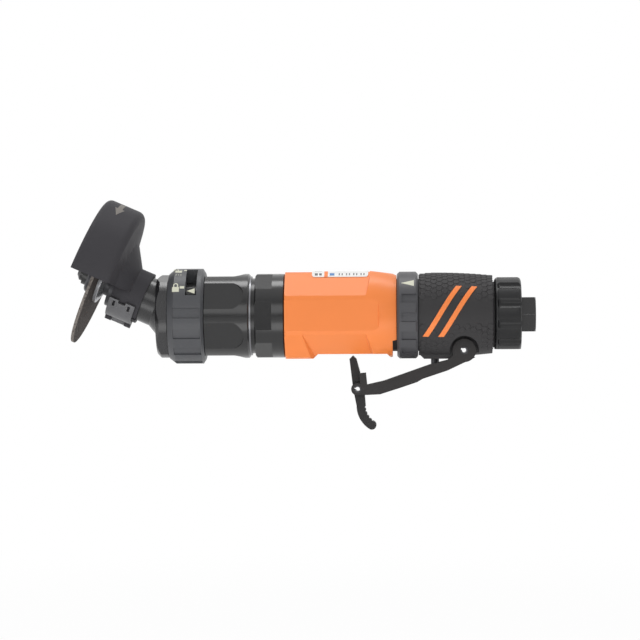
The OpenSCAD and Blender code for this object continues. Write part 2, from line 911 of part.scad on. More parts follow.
module motor_cylinder() {
    color("#7f8184") tool_axis() difference() {
        rod(motor_bore_r - fit_gap, cylinder_s, front_plate_s);
        translate([0, bore_offset, 0])
            rod(cylinder_bore_r, cylinder_s - over, front_plate_s + over);
        for (port = [0:cylinder_ports - 1])
            translate([0, 0, cylinder_s + (port + 1) * cylinder_len / (cylinder_ports + 1)])
                rotate([-toward_side, 0, 0])
                    cylinder(r = cylinder_port_r, h = motor_bore_r + over);
    }
}

module front_plate() {
    color("#8a8c8f") tool_axis() difference() {
        rod(motor_bore_r - fit_gap, front_plate_s, spacer_s);
        rod(rotor_bearing_r + fit_gap, front_plate_s + plate_web, spacer_s + over);
        rod(rotor_bearing_bore_r + end_gap, front_plate_s - over, spacer_s);
    }
}

module front_bearing() {
    color("#c3c5c8") tool_axis()
        bearing(rotor_bearing_bore_r, rotor_bearing_r, front_plate_s + plate_web);
}

module motor_spacer() {
    color("#6f7174") tool_axis()
        tube(motor_bore_r - fit_gap, rotor_bearing_r - over, spacer_s, clamp_wall_s);
}

module rotor() {
    color("#6a6c70") tool_axis() difference() {
        union() {
            rod(rotor_r, cylinder_s + touch_gap, front_plate_s - touch_gap);
            rod(rotor_bearing_bore_r - fit_gap, plate_s, groove_s);
            hexagon(drive_flats, groove_s - over, groove_s + drive_len);
        }
        for (vane = [0:vane_count - 1])
            rotate([0, 0, vane * 360 / vane_count])
                translate([vane_slot_floor_r - run_gap, -vane_thick / 2 - run_gap, cylinder_s])
                    cube([rotor_r, vane_thick + 2 * run_gap, cylinder_len]);
    }
}

module rotor_vanes() {
    color("#a98d62") tool_axis()
        for (vane = [0:vane_count - 1])
            rotate([0, 0, vane * 360 / vane_count])
                translate([vane_slot_floor_r, -vane_thick / 2, cylinder_s + touch_gap])
                    cube([rotor_r + vane_stand - vane_slot_floor_r, vane_thick,
                        cylinder_len - 2 * touch_gap]);
}

// Front end

module clamp_nut() {
    color("#262628") tool_axis() difference() {
        turned([
            [motor_housing_r + fit_gap, clamp_s + fit_gap],
            [clamp_nut_r - nut_chamfer, clamp_s + fit_gap],
            [clamp_nut_r, clamp_s + nut_chamfer], [clamp_nut_r, groove_s - nut_chamfer],
            [clamp_nut_r - nut_chamfer, groove_s], [flange_bore_r + fit_gap, groove_s],
            [flange_bore_r + fit_gap, clamp_wall_s], [motor_housing_r + fit_gap, clamp_wall_s]
        ]);
        for (flat = [0:5])
            rotate([0, 0, toward_side + flat * 60])
                translate([clamp_nut_r - clamp_flat_depth, -clamp_nut_r, groove_s - clamp_flat_len])
                    cube([clamp_nut_r, 2 * clamp_nut_r, clamp_flat_len + over]);
    }
}

front_chamber_end_s = nut_s + front_chamber_share * coupling_nut_len;

module front_housing() {
    color("#303032") tool_axis() difference() {
        turned([
            [front_chamber_r, clamp_wall_s + fit_gap], [flange_bore_r, clamp_wall_s + fit_gap],
            [flange_bore_r, groove_s + fit_gap], [groove_r, groove_s + fit_gap], [groove_r, nut_s],
            [front_body_r, nut_s], [front_body_r, lock_s - end_gap],
            [lock_seat_r, lock_s - end_gap], [lock_seat_r, collar_s - touch_gap],
            [front_bore_r, collar_s - touch_gap], [front_bore_r, front_chamber_end_s],
            [front_chamber_r, front_chamber_end_s]
        ]);
        sector(front_body_r - key_seat_depth, front_body_r + over, lock_s + window_start + key_inset,
            lock_s + window_start + window_len - key_inset,
            toward_side + key_low_angle, toward_side + key_high_angle);
    }
}

module spacer_ring() {
    color("#c9cbce") tool_axis()
        tube(spacer_ring_r, groove_r + fit_gap, nut_s - spacer_ring_len - fit_gap, nut_s - fit_gap);
}

module coupling_nut() {
    left = nut_s + coupling_nut_len;
    color("#2a2a2c") tool_axis() difference() {
        turned([
            [front_body_r + fit_gap, nut_s + fit_gap], [coupling_nut_r - nut_chamfer, nut_s + fit_gap],
            [coupling_nut_r, nut_s + nut_chamfer], [coupling_nut_r, left], [front_body_r + fit_gap, left]
        ]);
        for (flat = [0:5])
            rotate([0, 0, flat * 60])
                translate([coupling_nut_r - coupling_flat_depth, 0, 0])
                    rotate([0, 90, 0])
                        coupling_flat();
    }
}

// One milled flat with a rounded run-out towards the handle
module coupling_flat() {
    left = nut_s + coupling_nut_len + over;
    stop = nut_s + coupling_flat_stop + coupling_flat_end_r;
    translate([-left, -coupling_flat_end_r, 0])
        cube([left - stop, 2 * coupling_flat_end_r, coupling_nut_r]);
    translate([-stop, 0, 0])
        cylinder(r = coupling_flat_end_r, h = coupling_nut_r);
}

module index_key() {
    color("#3c3c3e") tool_axis()
        sector(front_body_r - key_seat_depth, lock_ring_r - key_below, lock_s + window_start + key_inset,
            lock_s + window_start + window_len - key_inset,
            toward_side + key_low_angle, toward_side + key_high_angle);
}

module lock_ring() {
    left = lock_s + lock_ring_len;
    bore = lock_seat_r + run_gap;
    pitch = 360 / rib_pitch_count;
    color("#646669") tool_axis() difference() {
        turned([
            [bore, lock_s], [lock_ring_r - lock_right_chamfer, lock_s],
            [lock_ring_r, lock_s + lock_right_chamfer_len], [lock_ring_r, left - lock_left_chamfer_len],
            [lock_ring_r - lock_left_chamfer, left], [bore, left]
        ]);
        sector(bore - over, lock_ring_r + over, lock_s + window_start,
            lock_s + window_start + window_len,
            toward_side + window_low_angle, toward_side + window_high_angle);
        for (rib = [0:rib_grooves - 1])
            grip_groove(lock_ring_r, rib_depth, lock_s + rib_inset_left, left - rib_inset_right,
                -rib_first_angle - rib * pitch);
    }
}

// Bevel gears: both share one apex, and their pitch cones touch along one line at the top

function gear_point(distance, height) =
    [distance * (cos(gear_half_angle) + height * sin(gear_half_angle)),
        distance * (sin(gear_half_angle) - height * cos(gear_half_angle))];

// Angles of the four flank lines of one tooth, with the height of each as a share
gear_pitch_share = 2 * PI * cos(gear_half_angle) / gear_teeth;
gear_half_share = gear_pitch_share / 4 - backlash_share / 2;
gear_tip_turn = atan(gear_half_share - addendum_share * tan(pressure_angle));
gear_base_turn = atan(gear_half_share + dedendum_share * tan(pressure_angle));
gear_lines = [[-gear_base_turn, -dedendum_share], [-gear_tip_turn, addendum_share],
    [gear_tip_turn, addendum_share], [gear_base_turn, -dedendum_share]];

function gear_ring(points) = [for (tooth = [0:gear_teeth - 1]) for (i = [0:3])
    let (turn = tooth * 360 / gear_teeth + gear_lines[i][0], p = points[i])
    [p[0] * cos(turn), p[0] * sin(turn), p[1]]];

module gear_wheel() {
    count = 4 * gear_teeth;
    root_in = gear_point(gear_in, -dedendum_share);
    root_out = gear_point(gear_out, -dedendum_share);
    face_r = gear_in * gear_face_share;
    points = concat(
        gear_ring([for (line = gear_lines) [face_r, root_in[1]]]),
        gear_ring([for (line = gear_lines) gear_point(gear_in, line[1])]),
        gear_ring([for (line = gear_lines) gear_point(gear_out, line[1])]),
        gear_ring([for (line = gear_lines) [root_out[0], gear_back]])
    );
    front = [for (i = [0:count - 1]) i];
    back = [for (i = [count - 1:-1:0]) 3 * count + i];
    strips = [for (ring = [0:2]) for (i = [0:count - 1])
        let (next = (i + 1) % count, a = ring * count, b = a + count)
        each [[a + i, b + i, b + next], [a + i, b + next, a + next]]];
    polyhedron(points, concat([front], strips, [back]));
}

pinion_bearing_s = apex_s - pinion_bearing_ahead - bearing_width;

module bevel_pinion() {
    shank_end = apex_s - groove_s - touch_gap - groove_len;
    color("#55575b") tool_axis()
        translate([0, 0, apex_s])
            rotate([180, 0, 0])
                difference() {
                    union() {
                        gear_wheel();
                        rod(gear_hub_r, gear_back - over, pinion_bearing_ahead - touch_gap);
                        rod(head_bearing_bore_r - fit_gap, gear_back, shank_end);
                    }
                    hexagon(drive_flats + 2 * touch_gap,
                        shank_end - drive_len, shank_end + over);
                }
}

module bevel_gear() {
    color("#55575b") spindle_axis() difference() {
        union() {
            rotate([0, 0, 180 / gear_teeth])
                gear_wheel();
            rod(gear_hub_r, gear_back - over, rear_bearing_t - touch_gap);
        }
        rod(head_bearing_bore_r, gear_in / 2 - touch_gap, rear_bearing_t + over);
    }
}

// Angle head

// The collar behind the lock ring, with six flats for a wrench
module head_collar() {
    difference() {
        turned([
            [0, collar_s], [collar_r, collar_s], [collar_r, collar_s + collar_len - collar_chamfer_len / 2],
            [collar_r - collar_chamfer, collar_s + collar_len + collar_chamfer_len / 2],
            [collar_face_r, collar_face_s],
            [0, collar_face_s]
        ]);
        for (flat = [0:5])
            rotate([0, 0, toward_side + collar_flat_angle + flat * 60])
                translate([collar_r - collar_flat_depth, -collar_r, collar_s - over])
                    cube([collar_r, 2 * collar_r, collar_face_s - collar_s + 2 * over]);
    }
}

module head_outside() {
    difference() {
        spindle_axis() {
            rod(neck_r, 0, neck_end_t);
            cylinder(r1 = neck_r + flare_slope * flare_t, r2 = neck_r, h = flare_t);
        }
        tool_axis()
            rod(2 * collar_r, 0, collar_s);
    }
    tool_axis() {
        head_collar();
        rod(spigot_wall_r, front_chamber_end_s + touch_gap, collar_s + over);
        rod(spigot_wall_r - retainer_seat, front_chamber_end_s - retainer_len, collar_s);
    }
}

module head_housing() {
    bore_s = front_chamber_end_s - retainer_len - over;
    color("#28282a") difference() {
        head_outside();
        tool_axis() {
            rod(head_bore_r, bore_s, apex_s + over);
            rotate_extrude()
                translate([spigot_wall_r, collar_s - seal_back])
                    circle(seal_r + run_gap);
        }
        spindle_axis() {
            rod(gear_cavity_r, -gear_cavity_back, gear_cavity_front);
            rod(hub_bore_r, 0, rear_bearing_t + over);
            rod(head_bore_r, rear_bearing_t, neck_end_t + over);
        }
    }
}

module head_retainer() {
    color("#56585b") tool_axis()
        tube(spigot_wall_r + retainer_out, spigot_wall_r - retainer_seat + fit_gap,
            front_chamber_end_s - retainer_len, front_chamber_end_s - touch_gap);
}

module spigot_seal() {
    color("#151515") tool_axis()
        intersection() {
            rotate_extrude()
                translate([spigot_wall_r, collar_s - seal_back])
                    circle(seal_r);
            rod(spigot_wall_r, collar_s - 2 * seal_back, collar_s);
        }
}

module pinion_bearing() {
    color("#c3c5c8") tool_axis()
        bearing(head_bearing_bore_r, head_bore_r - fit_gap, pinion_bearing_s);
}

module spindle_rear_bearing() {
    color("#c3c5c8") spindle_axis()
        bearing(head_bearing_bore_r, head_bore_r - fit_gap, rear_bearing_t);
}

module bearing_spacer() {
    outer = head_bore_r - fit_gap;
    color("#8f9194") spindle_axis()
        tube(outer, outer - spacer_tube_wall, rear_bearing_t + bearing_width, front_bearing_t);
}

module spindle_front_bearing() {
    color("#c3c5c8") spindle_axis()
        bearing(head_bearing_bore_r, head_bore_r - fit_gap, front_bearing_t);
}

module bearing_cap() {
    color("#4a4c4f") spindle_axis() difference() {
        union() {
            rod(head_bore_r - fit_gap, front_bearing_t + bearing_width, neck_end_t + over / 2);
            rod(cap_flange_r, neck_end_t, neck_end_t + cap_flange_len);
        }
        rod(cap_hole_r, 0, neck_end_t + cap_flange_len + over);
    }
}

// Spindle and wheel

module spindle() {
    color("#6d6f73") spindle_axis() difference() {
        union() {
            rod(head_bearing_bore_r - fit_gap, gear_in / 2, nose_end_t);
            rod(nose_r, front_bearing_t + bearing_width + touch_gap, nose_end_t);
            rod(arbor_r, nose_end_t - over, arbor_end_t);
        }
        rod(screw_shank_r, arbor_end_t - screw_shank_len, arbor_end_t + over);
    }
}

module inner_flange() {
    color("#d5d6d8") spindle_axis() difference() {
        turned([
            [arbor_r + fit_gap, nose_end_t], [nose_r + over, nose_end_t],
            [inner_flange_r, disc_back_t - flange_thick / 2], [inner_flange_r, disc_back_t],
            [arbor_r + fit_gap, disc_back_t]
        ]);
        tube(flange_relief_r, arbor_r, disc_back_t - flange_relief, disc_back_t + over);
    }
}

module cutting_disc() {
    color("#4a4440") spindle_axis()
        tube(disc_r, arbor_r + fit_gap, disc_back_t, disc_front_t);
}

module outer_flange() {
    face = disc_front_t + outer_flange_thick;
    color("#454547") spindle_axis()
        turned([
            [arbor_r + fit_gap, disc_front_t], [outer_flange_r, disc_front_t],
            [outer_flange_r, face - outer_flange_chamfer],
            [outer_flange_r - outer_flange_chamfer, face],
            [arbor_r + fit_gap, face]
        ]);
}

module disc_screw() {
    seat = disc_front_t + outer_flange_thick;
    color("#3c3c3e") spindle_axis() difference() {
        union() {
            rod(screw_step_r, seat, seat + screw_step_len);
            turned([
                [0, seat], [screw_head_r, seat], [screw_head_r, seat + screw_step_len + screw_head_len / 2],
                [screw_head_r / 2, seat + screw_step_len + screw_head_len],
                [0, seat + screw_step_len + screw_head_len]
            ]);
            rod(screw_shank_r - fit_gap, arbor_end_t - screw_shank_len + over, seat + over);
        }
        hexagon(screw_socket_flats, seat + screw_step_len + screw_head_len - screw_socket_depth,
            seat + screw_step_len + screw_head_len + over);
    }
}

// Guard and latch

guard_back_t = guard_front_t - guard_width;
guard_hub_t = hub_ring_t + (guard_back_t - hub_ring_t) * guard_hub_share;

// The half section of the guard shell, from the front rim to the hub ring
module guard_section() {
    cone_t = guard_back_t - guard_cone_rise;
    difference() {
        union() {
            square_between(0, guard_r - guard_shoulder_r, guard_back_t, guard_front_t);
            square_between(0, guard_r, guard_back_t + guard_shoulder_r, guard_front_t);
            translate([guard_r - guard_shoulder_r, guard_back_t + guard_shoulder_r])
                circle(guard_shoulder_r);
            polygon([[0, guard_hub_t], [hub_ring_r, guard_hub_t], [guard_cone_r, cone_t],
                [guard_r - guard_shoulder_r, guard_back_t], [0, guard_back_t + over]]);
        }
        square_between(-over, guard_r - guard_shoulder_r, guard_back_t + guard_wall, guard_front_t + over);
        square_between(-over, guard_r - guard_wall, guard_back_t + guard_shoulder_r, guard_front_t + over);
        translate([guard_r - guard_shoulder_r, guard_back_t + guard_shoulder_r])
            circle(guard_shoulder_r - guard_wall);
        polygon([[-over, guard_hub_t + 2 * guard_wall],
            [hub_ring_r - guard_wall, guard_hub_t + 2 * guard_wall],
            [guard_cone_r - guard_wall, cone_t + guard_wall],
            [guard_r - guard_shoulder_r, guard_back_t + guard_wall], [-over, guard_back_t + 2 * over]]);
        square_between(-over, hub_ring_bore_r, guard_hub_t - over, guard_front_t);
    }
}

module square_between(inner, outer, from, to) {
    translate([inner, from])
        square([outer - inner, to - from]);
}

module wheel_guard() {
    color("#2b2b2d") spindle_axis() difference() {
        union() {
            rotate_extrude(start = -guard_cover / 2, angle = guard_cover)
                guard_section();
            tube(hub_ring_r, hub_ring_bore_r, hub_ring_t, hub_ring_t + hub_ring_len);
            for (from = [latch_t, latch_t + latch_len - latch_ear_len])
                rotate([0, 0, latch_low_angle])
                    guard_ear(from);
        }
        rotate([0, 0, latch_low_angle])
            translate([latch_pin_ring_r, 0, 0])
                rod(latch_pin_r + fit_gap, hub_ring_t - over, hub_ring_t + hub_ring_len + over);
        rotate([0, 0, hub_slit_angle])
            translate([0, -hub_slit / 2, hub_ring_t - over])
                cube([hub_ring_r + over, hub_slit, hub_ring_len + 2 * over]);
        rod(hub_ring_bore_r, hub_ring_t - over, hub_ring_t + hub_ring_len + over);
    }
}

// An ear on the hub ring that carries one end of the latch pin
module guard_ear(from) {
    translate([latch_pin_ring_r, 0, 0])
        rod(latch_ear_r, from, from + latch_ear_len);
    translate([hub_ring_bore_r, -latch_ear_r, from])
        cube([latch_pin_ring_r - hub_ring_bore_r, 2 * latch_ear_r, latch_ear_len]);
}

module latch_pin() {
    color("#8f9194") spindle_axis()
        rotate([0, 0, latch_low_angle])
            translate([latch_pin_ring_r, 0, 0])
                rod(latch_pin_r, latch_t, latch_t + latch_len);
}

module guard_latch() {
    left = latch_t + latch_len;
    clear = latch_ear_len + end_gap;
    half = latch_ear_r + end_gap;
    color("#7b7d80") spindle_axis() difference() {
        union() {
            sector(latch_r, latch_r + latch_wall, latch_t, left, latch_low_angle, latch_high_angle);
            rotate([0, 0, latch_low_angle])
                translate([latch_pin_ring_r, 0, 0])
                    rod(latch_ear_r - end_gap, latch_t + clear, left - clear);
        }
        rotate([0, 0, latch_low_angle])
            translate([latch_pin_ring_r, 0, 0])
                rod(latch_pin_r + run_gap, latch_t - over, left + over);
        for (from = [latch_t - over, left - clear])
            rotate([0, 0, latch_low_angle])
                translate([hub_ring_bore_r, -half, from])
                    cube([latch_pin_ring_r, 2 * half, clear + over]);
        for (slot = [latch_t + latch_slot_inset, left - latch_slot_inset - latch_slot_width])
            sector(latch_r - over, latch_r + latch_wall + over, slot, slot + latch_slot_width,
                latch_slot_low_angle, latch_slot_high_angle);
        sector(latch_r - over, latch_r + latch_wall + over, latch_t + (latch_len - latch_notch_len) / 2,
            latch_t + (latch_len + latch_notch_len) / 2, latch_high_angle - latch_notch_angle,
            latch_high_angle + latch_notch_past_angle);
    }
}

// Lever and catch

function lever_points(shares) = [for (share = shares) [share[0] * lever_len, -share[1] * lever_depth]];

module throttle_lever() {
    web_low = lever_points(web_low_shares);
    web_top = [for (i = [len(web_low) - 1:-1:0]) web_low[i] + [0, lever_sheet]];
    color("#3a3838") lever_frame() difference() {
        union() {
            cheeks(lever_inner, lever_outer) {
                polygon(concat(lever_points(lever_top_shares), lever_points(lever_low_shares)));
                circle(lever_ear_r);
                translate([lever_len, 0])
                    circle(lever_end_r);
            }
            across(2 * lever_outer)
                polygon(concat(web_low, web_top));
        }
        across(2 * lever_outer + 2 * over)
            circle(roll_pin_r + run_gap);
        translate([lever_len, 0, 0])
            across(2 * lever_outer + 2 * over)
                circle(roll_pin_r + fit_gap);
    }
}

module catch_pin() {
    color("#77777a") lever_frame()
        translate([lever_len, 0, 0])
            roll_pin(2 * lever_outer);
}

module safety_catch() {
    half = finger_thick / 2;
    centre = [-finger_offset - finger_bend_r, -finger_start];
    tip = centre + finger_bend_r * [cos(finger_sweep_angle), -sin(finger_sweep_angle)];
    color("#2f2e2e") catch_frame() difference() {
        union() {
            across(catch_hub_width)
                circle(catch_hub_r);
            across(catch_width) {
                polygon([
                    [catch_lean - catch_arm_thick / 2, catch_arm - catch_arm_thick / 2],
                    [catch_lean, catch_arm],
                    [catch_lean + catch_arm_thick / 2, catch_arm - catch_arm_thick / 2],
                    [catch_root / 2, 0], [-catch_root / 2, 0],
                    [-catch_lean / 2, catch_arm / 2]
                ]);
                polygon([
                    [catch_root / 2, 0], [half - finger_offset, -finger_start],
                    [-half - finger_offset, -finger_start], [-catch_hub_r, 0]
                ]);
                translate(tip)
                    circle(half);
            }
            translate([centre[0], centre[1], 0])
                rotate_extrude(start = -finger_sweep_angle, angle = finger_sweep_angle)
                    translate([finger_bend_r - half, -catch_width / 2])
                        square([finger_thick, catch_width]);
        }
        across(catch_hub_width + 2 * over)
            circle(roll_pin_r + run_gap);
        for (notch = [0:serration_count - 1])
            translate([centre[0], centre[1], 0])
                rotate([0, 0, -serration_start_angle - notch * serration_step_angle])
                    translate([finger_bend_r - half, 0, 0])
                        across(catch_width + 2 * over)
                            circle(serration_r, $fn = 4);
    }
}

inlet_bushing();
inlet_screen();
exhaust_silencer();
throttle_housing();
lever_pin();
valve_bush();
valve_seat();
valve_spring();
motor_housing();
motor_cover();
rating_label();
rear_plate();
rear_bearing();
motor_cylinder();
front_plate();
front_bearing();
motor_spacer();
clamp_nut();
front_housing();
spacer_ring();
coupling_nut();
index_key();
exhaust_cap();
reverse_ring();
reverse_pin();
reverse_valve();
throttle_lever();
catch_pin();
safety_catch();
valve_plunger();
lock_ring();
head_housing();
head_retainer();
spigot_seal();
pinion_bearing();
spindle_rear_bearing();
bearing_spacer();
spindle_front_bearing();
bearing_cap();
rotor();
rotor_vanes();
bevel_pinion();
spindle();
bevel_gear();
inner_flange();
cutting_disc();
outer_flange();
disc_screw();
wheel_guard();
latch_pin();
guard_latch();
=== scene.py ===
import json
import math

import bmesh
import bpy
from mathutils import Matrix, Vector
from mathutils.bvhtree import BVHTree


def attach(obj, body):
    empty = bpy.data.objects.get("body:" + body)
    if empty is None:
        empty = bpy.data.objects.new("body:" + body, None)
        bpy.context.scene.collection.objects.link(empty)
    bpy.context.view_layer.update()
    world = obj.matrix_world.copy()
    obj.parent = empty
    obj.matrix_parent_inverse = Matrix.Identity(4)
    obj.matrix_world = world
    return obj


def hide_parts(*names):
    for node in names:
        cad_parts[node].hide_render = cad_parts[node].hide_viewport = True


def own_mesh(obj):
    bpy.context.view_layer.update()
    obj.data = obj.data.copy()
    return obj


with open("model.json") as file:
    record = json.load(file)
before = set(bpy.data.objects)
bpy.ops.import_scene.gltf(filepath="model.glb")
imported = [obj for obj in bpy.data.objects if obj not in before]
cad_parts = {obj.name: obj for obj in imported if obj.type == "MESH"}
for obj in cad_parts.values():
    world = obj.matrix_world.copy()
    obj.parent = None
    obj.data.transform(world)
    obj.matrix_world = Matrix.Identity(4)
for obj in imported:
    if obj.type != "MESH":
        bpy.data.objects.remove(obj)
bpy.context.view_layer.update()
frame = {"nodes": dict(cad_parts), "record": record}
cadNodes = frame["nodes"]
bodies = frame["record"]["behaviour"]["bodies"]
bodyOf = {node: body for body, members in bodies.items() for node in members}
scene = bpy.context.scene
mm = 0.001

# the two axes of the tool: the motor axis is X, the spindle leans up from it
layout = {
    "apex": Vector((-194.15, 0, 0)) * mm,
    "tilt": math.radians(23.45),
}
spindleDir = Vector((-math.cos(layout["tilt"]), 0, math.sin(layout["tilt"])))
spindleUp = Vector((math.sin(layout["tilt"]), 0, math.cos(layout["tilt"])))


def toLinear(level):
    level = level / 255
    return level / 12.92 if level <= 0.04045 else ((level + 0.055) / 1.055) ** 2.4


def tone(colour):
    return (*map(toLinear, colour), 1)


# helpers for node trees

def feed(tree, node, inputs):
    # a node stands for its first output; sockets are linked, anything else is a constant
    for key, value in inputs.items():
        if isinstance(value, bpy.types.Node):
            value = value.outputs[0]
        if isinstance(value, bpy.types.NodeSocket):
            tree.links.new(value, node.inputs[key])
        else:
            node.inputs[key].default_value = value


def addNode(tree, kind, inputs=None, **settings):
    node = tree.nodes.new(kind)
    for key, value in settings.items():
        setattr(node, key, value)
    feed(tree, node, inputs or {})
    return node


symbols = {"+": "ADD", "-": "SUBTRACT", "*": "MULTIPLY", "/": "DIVIDE", ">": "GREATER_THAN",
           "<": "LESS_THAN"}


def calculator(tree):
    # math nodes of one tree, written as calc("+", first, second) or calc("SINE", angle)
    def calc(sign, *values):
        inputs = dict(enumerate(values))
        return addNode(tree, "ShaderNodeMath", inputs, operation=symbols.get(sign, sign))
    return calc


def vectorMath(tree, operation, *values):
    return addNode(tree, "ShaderNodeVectorMath", dict(enumerate(values)), operation=operation)


def noise(tree, vector, scale, fine, rough):
    return addNode(tree, "ShaderNodeTexNoise", {
        "Vector": vector, "Scale": scale, "Detail": fine, "Roughness": rough})


def ramp(tree, value, start, end, low=0.0, high=1.0, shape="LINEAR"):
    return addNode(tree, "ShaderNodeMapRange", {
        "Value": value, "From Min": start, "From Max": end, "To Min": low, "To Max": high},
        interpolation_type=shape)


def mixColour(tree, share, first, second):
    # the mix node keeps its colours in sockets 6 and 7 and its result in output 2
    inputs = {0: share, 6: first, 7: second}
    return addNode(tree, "ShaderNodeMix", inputs, data_type="RGBA").outputs[2]


def newGroup(name, kind, inputs, outputs):
    # a socket is given by its kind, or by the number that a float starts from
    tree = bpy.data.node_groups.new(name, kind)
    for way, entries in (("INPUT", inputs), ("OUTPUT", outputs)):
        for title, value in entries.items():
            typed = isinstance(value, str)
            socket = tree.interface.new_socket(
                name=title, in_out=way, socket_type="NodeSocket" + (value if typed else "Float"))
            if not typed:
                socket.default_value = value
    return tree, calculator(tree), addNode(tree, "NodeGroupInput").outputs


# shader groups shared by the finishes

# a noise pattern has its (detail, roughness)
detail = {"grain": (3.0, 0.6), "cloud": (4.0, 0.55), "scuff": (6.0, 0.72), "scuffScale": 210.0,
          "scuffStretch": (3.0, 1.0, 1.0), "scuffFrom": 0.60, "scuffTo": 0.78, "rubHighlightGain": 1.6,
          "rubHighlightFloor": -0.3}


def makeSurfaceGroup():
    # grain for the bump, cloudy tone, fine scuffs, and softened edges lightened: wear from rubbing,
    # and on the ring finishes also a painted highlight along the edges
    tree, calc, source = newGroup("surfaceDetail", "ShaderNodeTree", {
        "Vector": "Vector", "Base": "Color", "Worn And Highlight": "Color", "Grain Scale": 900,
        "Cloud Scale": 60, "Cloud Amount": 0.15, "Scuff Amount": 0.15, "Roughness": 0.4,
        "Roughness Spread": 0.1, "Edge": 0.0, "Edge Wear And Highlight": 0.5,
    }, {"Color": "Color", "Roughness": "Float", "Height": "Float"})
    vector, amount, spread = source["Vector"], source["Cloud Amount"], source["Roughness Spread"]
    grain = noise(tree, vector, source["Grain Scale"], *detail["grain"])
    cloud = noise(tree, vector, source["Cloud Scale"], *detail["cloud"])
    stretched = addNode(tree, "ShaderNodeMapping", {
        "Vector": vector, "Scale": detail["scuffStretch"]})
    scuff = noise(tree, stretched, detail["scuffScale"], *detail["scuff"])
    scuffed = calc("*", ramp(tree, scuff, detail["scuffFrom"], detail["scuffTo"]),
                   source["Scuff Amount"])
    shade = calc("MULTIPLY_ADD", amount, -0.5, calc("MULTIPLY_ADD", cloud, amount, 1.0))
    cloudy = addNode(tree, "ShaderNodeVectorMath", {0: source["Base"], "Scale": shade},
                     operation="SCALE")
    # lighter edges: wear from rubbing, and on the rings a painted highlight
    rubbedAndHighlight = calc("*", calc("*", source["Edge"], source["Edge Wear And Highlight"]),
                  calc("MULTIPLY_ADD", cloud, detail["rubHighlightGain"], detail["rubHighlightFloor"]))
    colour = mixColour(tree, calc("MAXIMUM", scuffed, rubbedAndHighlight), cloudy, source["Worn And Highlight"])
    rough = source["Roughness"]
    for pattern in (cloud, grain):
        rough = calc("MULTIPLY_ADD", calc("-", pattern, 0.5), spread, rough)
    addNode(tree, "NodeGroupOutput", {"Color": colour, "Roughness": rough, "Height": grain})
    return tree


def makeAxisGroup():
    # distance of a point from the spindle axis, in millimetres
    tree, calc, source = newGroup("spindleDistance", "ShaderNodeTree", {"Vector": "Vector"},
                                  {"Radius": "Float"})
    fromApex = vectorMath(tree, "SUBTRACT", source[0], tuple(layout["apex"]))
    across = vectorMath(tree, "CROSS_PRODUCT", fromApex, tuple(spindleDir))
    length = vectorMath(tree, "LENGTH", across).outputs["Value"]
    addNode(tree, "NodeGroupOutput", {"Radius": calc("*", length, 1 / mm)})
    return tree


surfaceGroup = makeSurfaceGroup()
axisGroup = makeAxisGroup()
print("shader groups made")


# finishes: each gives its colours and what differs from the plain look

